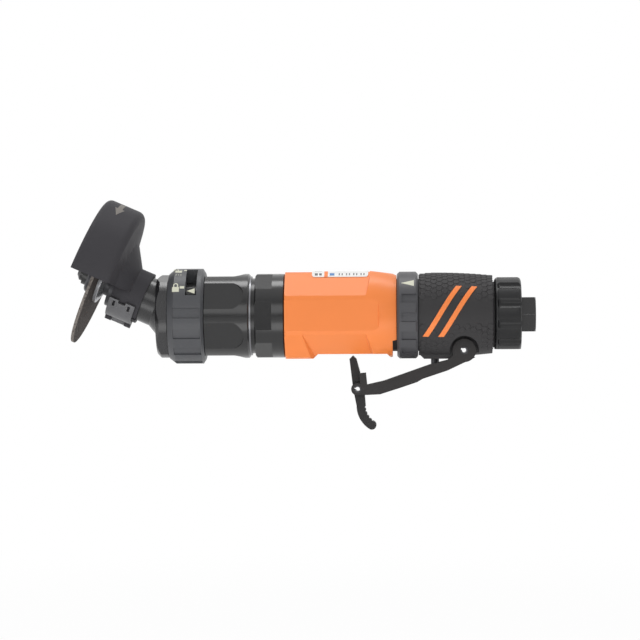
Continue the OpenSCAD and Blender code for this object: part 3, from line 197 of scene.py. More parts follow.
plainLook = dict(rough=0.4, metal=0.0, spec=0.3, grain=1500, bump=0.00001, cloud=0.15, scuff=0.10,
                 spread=0.10, coat=0.0, coatRough=0.25, bumpStrength=0.6)
steelLook = dict(rough=0.30, metal=1.0, spec=0.5, grain=1000, scuff=0.20, spread=0.14)
labelLook = dict(spec=0.4, cloud=0.06, spread=0.08)
finishes = {
    "blackMetal": dict(base=(27, 27, 28), wornAndHighlight=(86, 86, 88), rough=0.24, spec=0.45, grain=1400,
        bump=0.00002, cloud=0.14),
    "nutBlack": dict(base=(25, 25, 26), wornAndHighlight=(92, 92, 94), rough=0.2, spec=0.5, grain=1400,
        bump=0.00002, cloud=0.12, spread=0.08, coat=0.1),
    "neckMetal": dict(base=(30, 30, 32), wornAndHighlight=(100, 100, 102), rough=0.26, spec=0.5, grain=1200,
        cloud=0.10, scuff=0.08, spread=0.08, coat=0.2),
    "guardPaint": dict(base=(66, 65, 68), wornAndHighlight=(98, 97, 99), rough=0.5, spec=0.04, grain=700,
        bump=0.00005, cloud=0.16, spread=0.14),
    "gripRubber": dict(base=(54, 53, 54), wornAndHighlight=(72, 71, 72), rough=0.62, spec=0.2, grain=1600,
        bump=0.00004, cloud=0.18, spread=0.14),
    "capPlastic": dict(base=(33, 33, 34), wornAndHighlight=(88, 88, 89), rough=0.32, spec=0.24, bump=0.00003,
        cloud=0.12, scuff=0.08),
    # the rings' lighter edge colour is partly wear from rubbing and partly a painted highlight
    # along the rib edges
    "ringGrey": dict(base=(72, 73, 76), wornAndHighlight=(138, 139, 141), rough=0.42, spec=0.35, bump=0.00003,
        cloud=0.10),
    "ringSlate": dict(base=(68, 68, 71), wornAndHighlight=(122, 122, 124), rough=0.42, spec=0.35, bump=0.00003,
        cloud=0.10),
    "orangeShell": dict(base=(238, 133, 67), wornAndHighlight=(250, 158, 98), grain=1300, bump=0.000025,
        cloud=0.05, coat=0.1),
    "orangeInlay": dict(base=(240, 132, 67), wornAndHighlight=(250, 158, 98), rough=0.45, bump=0.00002,
        cloud=0.05, scuff=0.08),
    "leverSteel": dict(base=(44, 42, 42), wornAndHighlight=(104, 101, 99), rough=0.42, spec=0.25, grain=900,
        bump=0.00003, cloud=0.20, scuff=0.20, spread=0.16),
    "catchBlack": dict(base=(36, 35, 35), wornAndHighlight=(98, 96, 95), rough=0.42, spec=0.25, grain=900,
        bump=0.00003, cloud=0.18, scuff=0.16, spread=0.14),
    "latchSteel": dict(base=(98, 98, 100), wornAndHighlight=(150, 150, 151), rough=0.42, metal=0.3, spec=0.4,
        grain=800, bump=0.00003, cloud=0.20, scuff=0.25, spread=0.16),
    "flangeSteel": dict(steelLook, base=(164, 165, 168), wornAndHighlight=(214, 214, 216), metal=0.65,
        grain=1100, cloud=0.12),
    "brightSteel": dict(steelLook, base=(190, 190, 193), wornAndHighlight=(228, 228, 230), rough=0.24,
        grain=1100, cloud=0.10),
    "turnedSteel": dict(steelLook, base=(122, 122, 125), wornAndHighlight=(200, 200, 202), metal=0.8,
        spread=0.16),
    "darkSteel": dict(steelLook, base=(62, 62, 65), wornAndHighlight=(128, 128, 130), rough=0.34, metal=0.5,
        spec=0.4, bump=0.00002),
    "castAluminium": dict(steelLook, base=(150, 151, 153), wornAndHighlight=(190, 190, 192), rough=0.42,
        metal=0.9, grain=600, bump=0.00004, scuff=0.15, spread=0.16),
    "turnedBrass": dict(steelLook, base=(190, 152, 84), wornAndHighlight=(224, 190, 122), scuff=0.15),
    "sealRubber": dict(base=(28, 28, 29), wornAndHighlight=(60, 60, 61), rough=0.55, grain=1400, bump=0.00003,
        scuff=0.05),
    "feltRing": dict(base=(128, 120, 104), wornAndHighlight=(160, 152, 136), rough=0.90, spec=0.1, grain=500,
        bump=0.0002, cloud=0.25, scuff=0.3),
    "vaneResin": dict(base=(150, 120, 78), wornAndHighlight=(184, 154, 112), rough=0.55, grain=500,
        bump=0.00005, cloud=0.25, scuff=0.2),
    "signIvory": dict(base=(205, 205, 186), wornAndHighlight=(176, 176, 160), rough=0.5, cloud=0.06,
        scuff=0.15),
    "arrowGrey": dict(base=(108, 103, 97), wornAndHighlight=(80, 79, 78), rough=0.5, cloud=0.10, scuff=0.30),
    "labelWhite": dict(labelLook, base=(228, 228, 226), wornAndHighlight=(206, 206, 204), cloud=0.04),
    "labelBlue": dict(labelLook, base=(58, 116, 176), wornAndHighlight=(100, 146, 188)),
    "labelGrey": dict(labelLook, base=(70, 70, 72), wornAndHighlight=(128, 128, 130)),
}


def newMaterial(name):
    mat = bpy.data.materials.new(name)
    mat.use_nodes = True
    return mat, mat.node_tree, mat.node_tree.nodes["Principled BSDF"]


def makeFinish(name, own):
    look = {**plainLook, **own}
    mat, tree, shader = newMaterial(name)
    # rounded edges take the lighter edge colour: wear, and on the rings a painted highlight
    edge = addNode(tree, "ShaderNodeAttribute", attribute_name="edgeWearAndHighlight")
    skin = addNode(tree, "ShaderNodeGroup", {
        "Vector": addNode(tree, "ShaderNodeTexCoord").outputs["Object"],
        "Base": tone(look["base"]), "Worn And Highlight": tone(look["wornAndHighlight"]), "Grain Scale": look["grain"],
        "Cloud Amount": look["cloud"], "Scuff Amount": look["scuff"], "Roughness": look["rough"],
        "Roughness Spread": look["spread"], "Edge": edge.outputs["Fac"]},
        node_tree=surfaceGroup).outputs
    bump = addNode(tree, "ShaderNodeBump", {
        "Strength": look["bumpStrength"], "Distance": look["bump"], "Height": skin["Height"]})
    feed(tree, shader, {
        "Base Color": skin["Color"], "Roughness": skin["Roughness"], "Normal": bump,
        "Metallic": look["metal"], "Coat Weight": look["coat"],
        "Coat Roughness": look["coatRough"], "Specular IOR Level": look["spec"]})
    return mat


finish = {name: makeFinish(name, own) for name, own in finishes.items()}

# bonded abrasive: coarse dark grit, turning to a light speckled band at the rim
abrasive = {"core": (56, 50, 47), "grit": (84, 77, 73), "rim": (122, 116, 111),
            "rimDark": (72, 66, 62), "rimFrom": 37.4, "rimTo": 38.0, "wobble": 0.6,
            "grain": 1500, "speck": 700.0, "speckDetail": (4.0, 0.5), "speckFrom": 0.5,
            "speckTo": 0.68, "bumpStrength": 0.8, "bump": 0.00015, "rough": 0.82, "spec": 0.25}


def makeDiscFinish():
    mat, tree, shader = newMaterial("abrasiveDisc")
    calc = calculator(tree)
    coords = addNode(tree, "ShaderNodeTexCoord").outputs["Object"]
    place = addNode(tree, "ShaderNodeGroup", {"Vector": coords}, node_tree=axisGroup)
    grit = addNode(tree, "ShaderNodeTexVoronoi", {"Vector": coords, "Scale": abrasive["grain"]})
    speck = noise(tree, coords, abrasive["speck"], *abrasive["speckDetail"])
    mask = ramp(tree, speck, abrasive["speckFrom"], abrasive["speckTo"])
    core = mixColour(tree, mask, tone(abrasive["core"]), tone(abrasive["grit"]))
    band = mixColour(tree, mask, tone(abrasive["rim"]), tone(abrasive["rimDark"]))
    wobble = calc("MULTIPLY_ADD", speck, abrasive["wobble"], -abrasive["wobble"] / 2)
    atRim = ramp(tree, calc("+", place.outputs["Radius"], wobble),
                 abrasive["rimFrom"], abrasive["rimTo"])
    bump = addNode(tree, "ShaderNodeBump", {
        "Strength": abrasive["bumpStrength"], "Distance": abrasive["bump"],
        "Height": grit.outputs["Distance"]})
    feed(tree, shader, {
        "Base Color": mixColour(tree, atRim, core, band), "Normal": bump,
        "Roughness": abrasive["rough"], "Specular IOR Level": abrasive["spec"]})
    return mat


finish["abrasiveDisc"] = makeDiscFinish()
print("finishes made:", len(finish))


# which CAD nodes take each finish

finishNodes = {
    "nutBlack": "inlet_bushing clamp_nut coupling_nut",
    "blackMetal": "front_housing index_key disc_screw",
    "turnedSteel": "valve_spring rear_plate motor_cylinder front_plate spacer_ring reverse_pin "
                   "head_retainer rotor latch_pin",
    "darkSteel": "lever_pin catch_pin valve_plunger bearing_cap bevel_pinion spindle bevel_gear "
                 "outer_flange",
    "brightSteel": "rear_bearing front_bearing pinion_bearing spindle_rear_bearing "
                   "spindle_front_bearing",
    "castAluminium": "motor_housing motor_spacer bearing_spacer",
    "turnedBrass": "inlet_screen valve_bush reverse_valve",
    "sealRubber": "valve_seat spigot_seal",
    "feltRing": "exhaust_silencer", "gripRubber": "throttle_housing", "orangeShell": "motor_cover",
    "labelWhite": "rating_label", "capPlastic": "exhaust_cap", "ringSlate": "reverse_ring",
    "leverSteel": "throttle_lever", "catchBlack": "safety_catch", "ringGrey": "lock_ring",
    "neckMetal": "head_housing", "vaneResin": "rotor_vanes", "flangeSteel": "inner_flange",
    "abrasiveDisc": "cutting_disc", "guardPaint": "wheel_guard", "latchSteel": "guard_latch",
}
for name, nodes in finishNodes.items():
    for node in nodes.split():
        data = cadNodes[node].data
        data.materials.clear()
        data.materials.append(finish[name])


# helpers for meshes

def keepMesh(obj):
    # freeze the modifiers into a plain mesh
    deps = bpy.context.evaluated_depsgraph_get()
    mesh = bpy.data.meshes.new_from_object(obj.evaluated_get(deps))
    obj.modifiers.clear()
    obj.data = mesh


def shadeByAngle(mesh, degrees):
    for polygon in mesh.polygons:
        polygon.use_smooth = True
    mesh.set_sharp_from_angle(angle=math.radians(degrees))


def addPiece(name, data):
    piece = bpy.data.objects.new(name, data)
    scene.collection.objects.link(piece)
    return piece


def solidPiece(name, build, material=None):
    # a finished closed bmesh becomes an object of the scene
    bmesh.ops.recalc_face_normals(build, faces=build.faces)
    mesh = bpy.data.meshes.new(name)
    build.to_mesh(mesh)
    build.free()
    if material:
        mesh.materials.append(finish[material])
    return addPiece(name, mesh)


def rework(mesh, *changes):
    build = bmesh.new()
    build.from_mesh(mesh)
    for change in changes:
        change(build)
    build.to_mesh(mesh)
    build.free()


def weld(build):
    bmesh.ops.remove_doubles(build, verts=build.verts, dist=softening["weld"])


def standIn(piece, node):
    # the piece takes the place of a CAD node
    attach(piece, bodyOf[node])
    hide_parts(node)


def closeRings(build, rings):
    # rings of equal count, joined into a closed skin
    for ring, after in zip(rings, rings[1:] + rings[:1]):
        for k in range(len(ring)):
            m = (k + 1) % len(ring)
            build.faces.new((ring[k], ring[m], after[m], after[k]))


def sliceAt(build, point, normal):
    everything = list(build.verts) + list(build.edges) + list(build.faces)
    bmesh.ops.bisect_plane(build, geom=everything, plane_co=point, plane_no=normal)


# pieces that show get softened edges

softening = {"weld": 2e-6, "flat": 0.8, "segments": 2, "smooth": 16}
# width of the softened edge in millimetres, and the angle from which an edge is softened
edgeWidths = {
    "inlet_bushing": (0.35, 30), "throttle_housing": (0.35, 32), "throttle_lever": (0.35, 32),
    "safety_catch": (0.45, 32), "reverse_ring": (0.3, 28), "motor_cover": (0.45, 18),
    "clamp_nut": (0.25, 15), "coupling_nut": (0.3, 15), "lock_ring": (0.3, 28),
    "head_housing": (0.35, 20), "wheel_guard": (0.35, 30), "guard_latch": (0.25, 30),
    "bearing_cap": (0.25, 30), "inner_flange": (0.2, 25), "outer_flange": (0.2, 25),
    "disc_screw": (0.2, 28), "cutting_disc": (0.12, 40), "lever_pin": (0.12, 40),
    "catch_pin": (0.12, 40), "index_key": (0.25, 40), "valve_plunger": (0.15, 40),
}


def markEdges(mesh):
    # faces of the edge rounding carry material index 1: keep them as a mask, give the index back
    mask = mesh.attributes.new("edgeWearAndHighlight", "FLOAT", "FACE")
    for polygon in mesh.polygons:
        mask.data[polygon.index].value = float(polygon.material_index)
        polygon.material_index = 0
    mesh.materials.pop(index=1)


def splitAtRounding(build):
    # large faces keep their own normals: shading breaks where a rounded edge begins
    mask = build.faces.layers.float["edgeWearAndHighlight"]
    for edge in build.edges:
        faces = edge.link_faces
        if len(faces) == 2 and faces[0][mask] != faces[1][mask]:
            edge.smooth = False


def mergeFlats(build):
    bmesh.ops.dissolve_limit(build, angle_limit=math.radians(softening["flat"]),
                             verts=build.verts, edges=build.edges)


# the guard's open rim rolls in: where the roll begins along the spindle, its radius, and the
# hub that it spares
lip = {"from": 62.3, "round": 3.0, "hub": 36.0, "steps": 6}


def rollRim(build):
    for index in range(lip["steps"]):
        at = lip["from"] + lip["round"] * math.sin(math.pi / 2 * index / lip["steps"])
        sliceAt(build, layout["apex"] + spindleDir * at * mm, spindleDir)
    for vert in build.verts:
        fromApex = vert.co - layout["apex"]
        along = fromApex.dot(spindleDir)
        across = fromApex - spindleDir * along
        reach = min(1.0, (along / mm - lip["from"]) / lip["round"])
        if reach > 0 and across.length > lip["hub"] * mm:
            drop = lip["round"] * (1 - math.sqrt(1 - reach * reach)) * mm
            vert.co = vert.co - across.normalized() * drop


# the reversing ring's edges are cut back less than on the solid
ringEdge = {"radius": 24.1, "solid": 2.2, "chamfer": 1.3, "near": 0.05}


def tightenEdges(build):
    stations = [vert.co.x / mm for vert in build.verts]
    ends = ((min(stations), 1), (max(stations), -1))
    for vert in build.verts:
        radius = math.hypot(vert.co.y, vert.co.z) / mm
        depth = ringEdge["radius"] - radius
        for end, inward in ends:
            inside = (vert.co.x / mm - end) * inward
            if abs(inside + depth - ringEdge["solid"]) > ringEdge["near"]:
                continue
            if inside < ringEdge["near"]:
                grow = (ringEdge["radius"] - ringEdge["chamfer"]) / radius
                vert.co.y, vert.co.z = vert.co.y * grow, vert.co.z * grow
            else:
                vert.co.x = (end + inward * max(0, ringEdge["chamfer"] - depth)) * mm


# the cover in millimetres: a turned shell with flats milled on it; profile is (radius, station),
# slope is (station, y, z); reach is how far a cutter stands out
cover = {
    "profile": ((20.12, 76.9), (22.1, 76.9), (23.2, 79.4), (24.2, 83.0), (25.0, 87.0),
                (25.4, 90.0), (25.4, 137.8), (24.8, 138.4), (19.62, 138.4), (19.62, 83.0),
                (20.12, 83.0)),
    "segments": 180, "flat": 23.9, "recess": 22.4, "crown": 24.0, "keel": 21.4, "reach": 9.0,
    "slope": ((92.2, -14, 24.6), (92.2, 14, 24.6), (75, 14, 22.5), (75, -14, 22.5)),
    "slopeTop": 34, "notch": (-142, -116, -90, -64, -38), "notchReach": 40, "notchSpan": (75, 79.1),
}
# outlines of the flats as (station, across)
sideOutline = ((86.7, -8.2), (86.7, 8.2), (92.5, 14), (141, 14), (141, -14), (92.5, -14))
upperOutline = ((94.4, -14), (90.8, 14), (141, 14), (141, -14))
lowerOutline = ((93.0, -14), (93.0, 14), (141, 14), (141, -14))
recessOutline = ((90.9, -9), (94.3, 16), (130.0, 16), (121.6, -9))
crownOutline = ((91.6, -14), (91.6, 14), (141, 14), (141, -14))
heelOutline = ((119, -14), (119, 14), (141, 14), (141, -14))
keelOutline = ((82.2, -16), (82.2, 16), (120.7, 16), (120.7, -16))


def flipped(outline):
    return tuple((s, -u) for s, u in outline)


# each flat: direction of its normal (0 faces the viewer, 90 up), distance from the axis, flare of
# its ends, outline
coverFlats = (
    (0, cover["flat"], 0.6, sideOutline), (180, cover["flat"], 0.6, sideOutline),
    (45, cover["flat"], 0.4, upperOutline), (135, cover["flat"], 0.4, flipped(upperOutline)),
    (-45, cover["flat"], 0.4, lowerOutline), (-135, cover["flat"], 0.4, lowerOutline),
    (-52.5, cover["recess"], 0.7, recessOutline),
    (-127.5, cover["recess"], 0.7, flipped(recessOutline)),
    (90, cover["crown"], 0.4, crownOutline), (-90, cover["flat"], 0.2, heelOutline),
    (-90, cover["keel"], 1.0, keelOutline),
)


def closedPrism(low, high):
    build = bmesh.new()
    first = [build.verts.new(point * mm) for point in low]
    second = [build.verts.new(point * mm) for point in high]
    build.faces.new(first)
    build.faces.new(second)
    for k in range(len(low)):
        after = (k + 1) % len(low)
        build.faces.new([first[k], first[after], second[after], second[k]])
    return solidPiece("coverCutter", build)


def flatCutter(turn, distance, flare, outline):
    angle = math.radians(turn)
    normal = Vector((0, -math.cos(angle), math.sin(angle)))
    across = Vector((0, math.sin(angle), math.cos(angle)))
    middle = sum(s for s, u in outline) / len(outline)
    reach = cover["reach"]
    low, high = [], []
    for s, u in outline:
        spread = flare * reach if s > middle else -flare * reach
        low.append(Vector((-s, 0, 0)) + normal * distance + across * u)
        high.append(Vector((-s - spread, 0, 0)) + normal * (distance + reach) + across * u)
    return closedPrism(low, high)


def carve(piece, cutter):
    cut = piece.modifiers.new("cut", "BOOLEAN")
    cut.operation = "DIFFERENCE"
    cut.solver = "EXACT"
    cut.object = cutter
    keepMesh(piece)
    bpy.data.objects.remove(cutter)


def makeCoverMesh():
    build = bmesh.new()
    turns = [2 * math.pi * k / cover["segments"] for k in range(cover["segments"])]
    closeRings(build, [[
        build.verts.new(Vector((-s, -r * math.cos(t), r * math.sin(t))) * mm) for t in turns]
        for r, s in cover["profile"]])
    blank = solidPiece("coverBlank", build, "orangeShell")
    for flat in coverFlats:
        carve(blank, flatCutter(*flat))
    # the end beside the handle falls away on top, and is notched below for the ring's stop
    carve(blank, closedPrism([Vector((-s, y, z)) for s, y, z in cover["slope"]],
                             [Vector((-s, y, cover["slopeTop"])) for s, y, z in cover["slope"]]))
    reach, turns = cover["notchReach"], [math.radians(a) for a in cover["notch"]]
    wedge = [(0, 0)] + [(reach * math.cos(t), reach * math.sin(t)) for t in turns]
    carve(blank, closedPrism(*([Vector((-s, y, z)) for y, z in wedge] for s in cover["notchSpan"])))
    mesh = blank.data
    bpy.data.objects.remove(blank)
    return mesh


reshaping = {"wheel_guard": [rollRim], "reverse_ring": [tightenEdges]}


def soften(node, width, angle):
    mesh = makeCoverMesh() if node == "motor_cover" else cadNodes[node].data.copy()
    mesh.name = node + "Dressed"
    rework(mesh, weld, mergeFlats, *reshaping.get(node, ()))
    mesh.materials.append(mesh.materials[0])
    piece = addPiece(node + "Dressed", mesh)
    rounding = piece.modifiers.new("edgeRound", "BEVEL")
    rounding.width = width * mm
    rounding.segments = softening["segments"]
    rounding.limit_method = "ANGLE"
    rounding.angle_limit = math.radians(angle)
    rounding.use_clamp_overlap = True
    rounding.material = 1
    keepMesh(piece)
    markEdges(piece.data)
    shadeByAngle(piece.data, softening["smooth"])
    rework(piece.data, splitAtRounding)
    standIn(piece, node)
    return piece


for node, (width, angle) in edgeWidths.items():
    piece = soften(node, width, angle)
    print("dressed", node, len(piece.data.polygons))


# the valve spring: a welded, smoothly shaded copy of its CAD coil takes its place

spring = {"roof": 9.0, "stroke": 1.95, "spare": 0.05, "smooth": 62}


def makeSpring():
    mesh = cadNodes["valve_spring"].data.copy()
    rework(mesh, weld)
    shadeByAngle(mesh, spring["smooth"])
    piece = addPiece("valveCoil", mesh)
    standIn(piece, "valve_spring")
    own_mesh(piece)


makeSpring()


# signs and inlays that lie on a round surface: millimetres per degree while they are flat, the
# shading angle, and degrees per radian for small signs
barrel = {"arc": 0.4, "smooth": 40, "turn": 57.3}


def barrelPoint(station, elevation, radius):
    # elevation is measured up from the side that faces the viewer, in degrees
    turn = math.radians(elevation)
    return Vector((-station, -radius * math.cos(turn), radius * math.sin(turn))) * mm


def flatSheet(outline, step):
    # the outline laid flat and cut into cells no larger than the step
    arc = barrel["arc"]
    flat = bmesh.new()
    flat.faces.new([flat.verts.new((s, a * arc, 0)) for s, a in outline])
    stations, heights = [s for s, a in outline], [a for s, a in outline]
    for along, low, high in ((Vector((1, 0, 0)), min(stations), max(stations)),
                             (Vector((0, 1, 0)), min(heights) * arc, max(heights) * arc)):
        cuts = max(1, int((high - low) / step))
        for index in range(1, cuts):
            sliceAt(flat, along * (low + (high - low) * index / cuts), along)
    bmesh.ops.triangulate(flat, faces=flat.faces)
    return flat


def layOnBarrel(name, outlines, radiusAt, lift, sink, material, body, step, side=1):
    # outlines are lists of (station, elevation); each becomes a thin closed plate on the barrel
    build = bmesh.new()
    for outline in outlines:
        flat = flatSheet(outline, step)
        top, under = {}, {}
        for vert in flat.verts:
            s, a = vert.co.x, vert.co.y / barrel["arc"]
            radius = radiusAt(s, a)
            for store, r in ((top, radius + lift), (under, radius - sink)):
                point = barrelPoint(s, a, r)
                point.y *= side
                store[vert] = build.verts.new(point)
        for cell in flat.faces:
            build.faces.new([top[v] for v in cell.verts])
            build.faces.new([under[v] for v in reversed(cell.verts)])
        for edge in flat.edges:
            if len(edge.link_faces) == 1:
                first, second = edge.verts
                build.faces.new([top[first], under[first], under[second], top[second]])
        flat.free()
    piece = solidPiece(name, build, material)
    shadeByAngle(piece.data, barrel["smooth"])
    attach(piece, body)
    return piece


def patch(s0, s1, a0, a1):
    return [(s0, a0), (s1, a0), (s1, a1), (s0, a1)]


# exhaust cap: grip flutes that run out short of the handle, and a flat below

cap = {"from": 8.05, "to": 22.85, "radius": 20.7, "corner": 2.2, "cornerTurn": 18, "bore": 9.1,
       "hollow": 17.15, "floor": 11.0, "flutes": 11, "firstFlute": 17.9, "fluteRound": 4.0,
       "fluteDepth": 1.3, "fluteEnd": 20.9, "fluteFade": 1.8, "fadeSteps": 5, "flat": 19.2,
       "flatHalf": 60, "steps": 264, "weld": 1e-7, "smooth": 14}


def capProfile():
    # (station, radius) round the section, once, starting at the rim beside the handle
    corner, outer = cap["corner"], cap["radius"]
    turns = [math.radians(t) for t in range(0, 91, cap["cornerTurn"])]
    near = [(cap["to"] - corner + corner * math.cos(t), outer - corner + corner * math.sin(t))
            for t in turns]
    far = [(cap["from"] + corner - corner * math.sin(t), outer - corner + corner * math.cos(t))
           for t in turns]
    fade = [(cap["fluteEnd"] - cap["fluteFade"] * step / cap["fadeSteps"], outer)
            for step in range(cap["fadeSteps"] + 1)]
    return near + fade + far + [(cap["from"], cap["bore"]), (cap["floor"], cap["bore"]),
                                (cap["floor"], cap["hollow"]), (cap["to"], cap["hollow"])]


def capRadius(station, radius, elevation):
    pitch = 360 / cap["flutes"]
    off = math.radians((elevation - cap["firstFlute"] + pitch / 2) % pitch - pitch / 2)
    middle = cap["radius"] - cap["fluteDepth"] + cap["fluteRound"]
    inside = cap["fluteRound"] ** 2 - (middle * math.sin(off)) ** 2
    if inside > 0:
        run = min(max((cap["fluteEnd"] - station) / cap["fluteFade"], 0), 1)
        cut = middle * math.cos(off) - math.sqrt(inside)
        deep = math.sqrt(1 - (1 - run) ** 2) * (cap["radius"] - cut)
        radius = min(radius, cap["radius"] - deep)
    down = math.cos(math.radians(elevation + 90))
    beside = math.cos(math.radians(cap["flatHalf"]))
    return min(radius, cap["flat"] / down) if down > beside else radius


def makeCap():
    build = bmesh.new()
    profile = capProfile()
    turns = [360 * index / cap["steps"] for index in range(cap["steps"])]
    closeRings(build, [[build.verts.new(barrelPoint(s, a, capRadius(s, r, a))) for s, r in profile]
                       for a in turns])
    bmesh.ops.remove_doubles(build, verts=build.verts, dist=cap["weld"])
    piece = solidPiece("capDressed", build, "capPlastic")
    shadeByAngle(piece.data, cap["smooth"])
    standIn(piece, "exhaust_cap")


makeCap()
print("cap dressed")


# painted signs: a pointer on the reversing ring

signs = {"lift": 0.04, "sink": 0.15}
ringSigns = {"radius": 24.1, "step": 1.0, "pointer": [(74.4, 46.9), (67.2, 52.5), (67.2, 41.3)]}


def laySign(name, outlines, radius, step, body):
    layOnBarrel(name, outlines, lambda s, a: radius, signs["lift"], signs["sink"], "signIvory",
                body, step=step)


laySign("turnPointer", [ringSigns["pointer"]], ringSigns["radius"], ringSigns["step"], "reverse")


# padlocks, dashes and dots on the lock ring, and the pointer on the key in its window

lockSigns = {"radius": 26.4, "step": 0.6, "bowOuter": 1.35, "bowInner": 0.75, "bowTurn": 20,
             "locked": (198.1, 34.0), "unlocked": (197.3, 69.5), "bodyHalf": 1.9,
             "bodyRise": 3.5, "legs": 3.0, "openLegs": 4.5, "openShift": 0.8,
             "dashes": [(193.4, 195.8, 35.2, 38.8), (192.9, 194.4, 71.4, 75.6)],
             "dots": (198.4, 197.1, 195.8), "dotHalf": 0.3, "dotSpan": (59.0, 60.4),
             "keyRadius": 25.4, "key": [(192.0, 33.0), (187.6, 37.0), (187.6, 29.0)]}


def bowPlates(station, foot, leg):
    # the bow of a padlock as a chain of small plates: two legs and the arch over them
    plates = []
    top = foot + leg
    outer, inner = lockSigns["bowOuter"], lockSigns["bowInner"]
    degPerMm = barrel["turn"] / lockSigns["radius"]
    turns = [math.radians(t) for t in range(0, 181, lockSigns["bowTurn"])]
    for first, second in zip(turns, turns[1:]):
        corners = ((inner, first), (outer, first), (outer, second), (inner, second))
        plates.append([(station + r * math.cos(t), top + r * math.sin(t) * degPerMm)
                       for r, t in corners])
    for side in (-1, 1):
        plates.append(patch(station + side * inner, station + side * outer, foot, top))
    return plates


def padlock(place, opened):
    station, middle = place
    half, rise = lockSigns["bodyHalf"], lockSigns["bodyRise"]
    body = patch(station - half, station + half, middle - rise, middle + rise)
    shift = half * lockSigns["openShift"] if opened else 0
    legs = lockSigns["openLegs"] if opened else lockSigns["legs"]
    return [body] + bowPlates(station + shift, middle + rise, legs)


def layOnLock(name, outlines):
    laySign(name, outlines, lockSigns["radius"], lockSigns["step"], "lock")


layOnLock("lockedSign", padlock(lockSigns["locked"], False))
layOnLock("unlockedSign", padlock(lockSigns["unlocked"], True))
layOnLock("lockDashes", [patch(*dash) for dash in lockSigns["dashes"]])
layOnLock("lockDots", [patch(s - lockSigns["dotHalf"], s + lockSigns["dotHalf"],
                             *lockSigns["dotSpan"]) for s in lockSigns["dots"]])
laySign("keyPointer", [lockSigns["key"]], lockSigns["keyRadius"], lockSigns["step"], "housing")
print("signs laid")


# handle: raised scales and two slanting inlays; field is the smooth thumb field's middle and half
# height in degrees, inlays are bars from one (station, elevation) to another

grip = {"start": 24.0, "length": 40.7, "radius": 23.2, "leftDrop": 0.9, "rightDrop": 1.7,
        "crest": 0.78, "scaled": 40.0, "pitch": 3.4, "rowPitch": 0.866, "tile": 1.76,
        "tileFoot": 1.12, "tileTop": 0.86, "height": 0.3, "scaleSink": 0.04, "lug": -0.90,
        "field": (4.0, 19.0), "pivot": (39.6, -19.7), "pocket": 9.2,
        "inlays": [((61.0, -31), (42.5, 43)), ((52.5, -31), (34.0, 43))], "inlayWidth": 2.3,
        "inlaySlant": 1.35, "inlayClear": 0.7, "inlayEnds": 0.57, "inlayLift": 0.35,
        "inlaySink": 0.3, "inlayStep": 0.8, "smooth": 25}


def gripRadius(station, elevation):
    share = (station - grip["start"]) / grip["length"] - grip["crest"]
    if share > 0:
        return grip["radius"] - grip["leftDrop"] * (share / (1 - grip["crest"])) ** 2
    return grip["radius"] - grip["rightDrop"] * (share / grip["crest"]) ** 2


def inlayOutline(start, end, width):
    # a straight bar between two places on the barrel, with slanting ends
    lean = width / 2
    return [(start[0] - lean, start[1]), (start[0] + lean, start[1]),
            (end[0] + lean, end[1]), (end[0] - lean, end[1])]


barWidth = grip["inlayWidth"] * grip["inlaySlant"]
inlayBars = [inlayOutline(*ends, barWidth) for ends in grip["inlays"]]
for side, word in ((1, "Near"), (-1, "Far")):
    layOnBarrel("gripInlay" + word, inlayBars, gripRadius, grip["inlayLift"], grip["inlaySink"],
                "orangeInlay", "housing", step=grip["inlayStep"], side=side)


def endTree(tree, geometry, material):
    # real geometry in one material leaves the tree
    real = addNode(tree, "GeometryNodeRealizeInstances", {"Geometry": geometry})
    painted = addNode(tree, "GeometryNodeSetMaterial", {"Geometry": real, "Material": material})
    addNode(tree, "NodeGroupOutput", {0: painted})


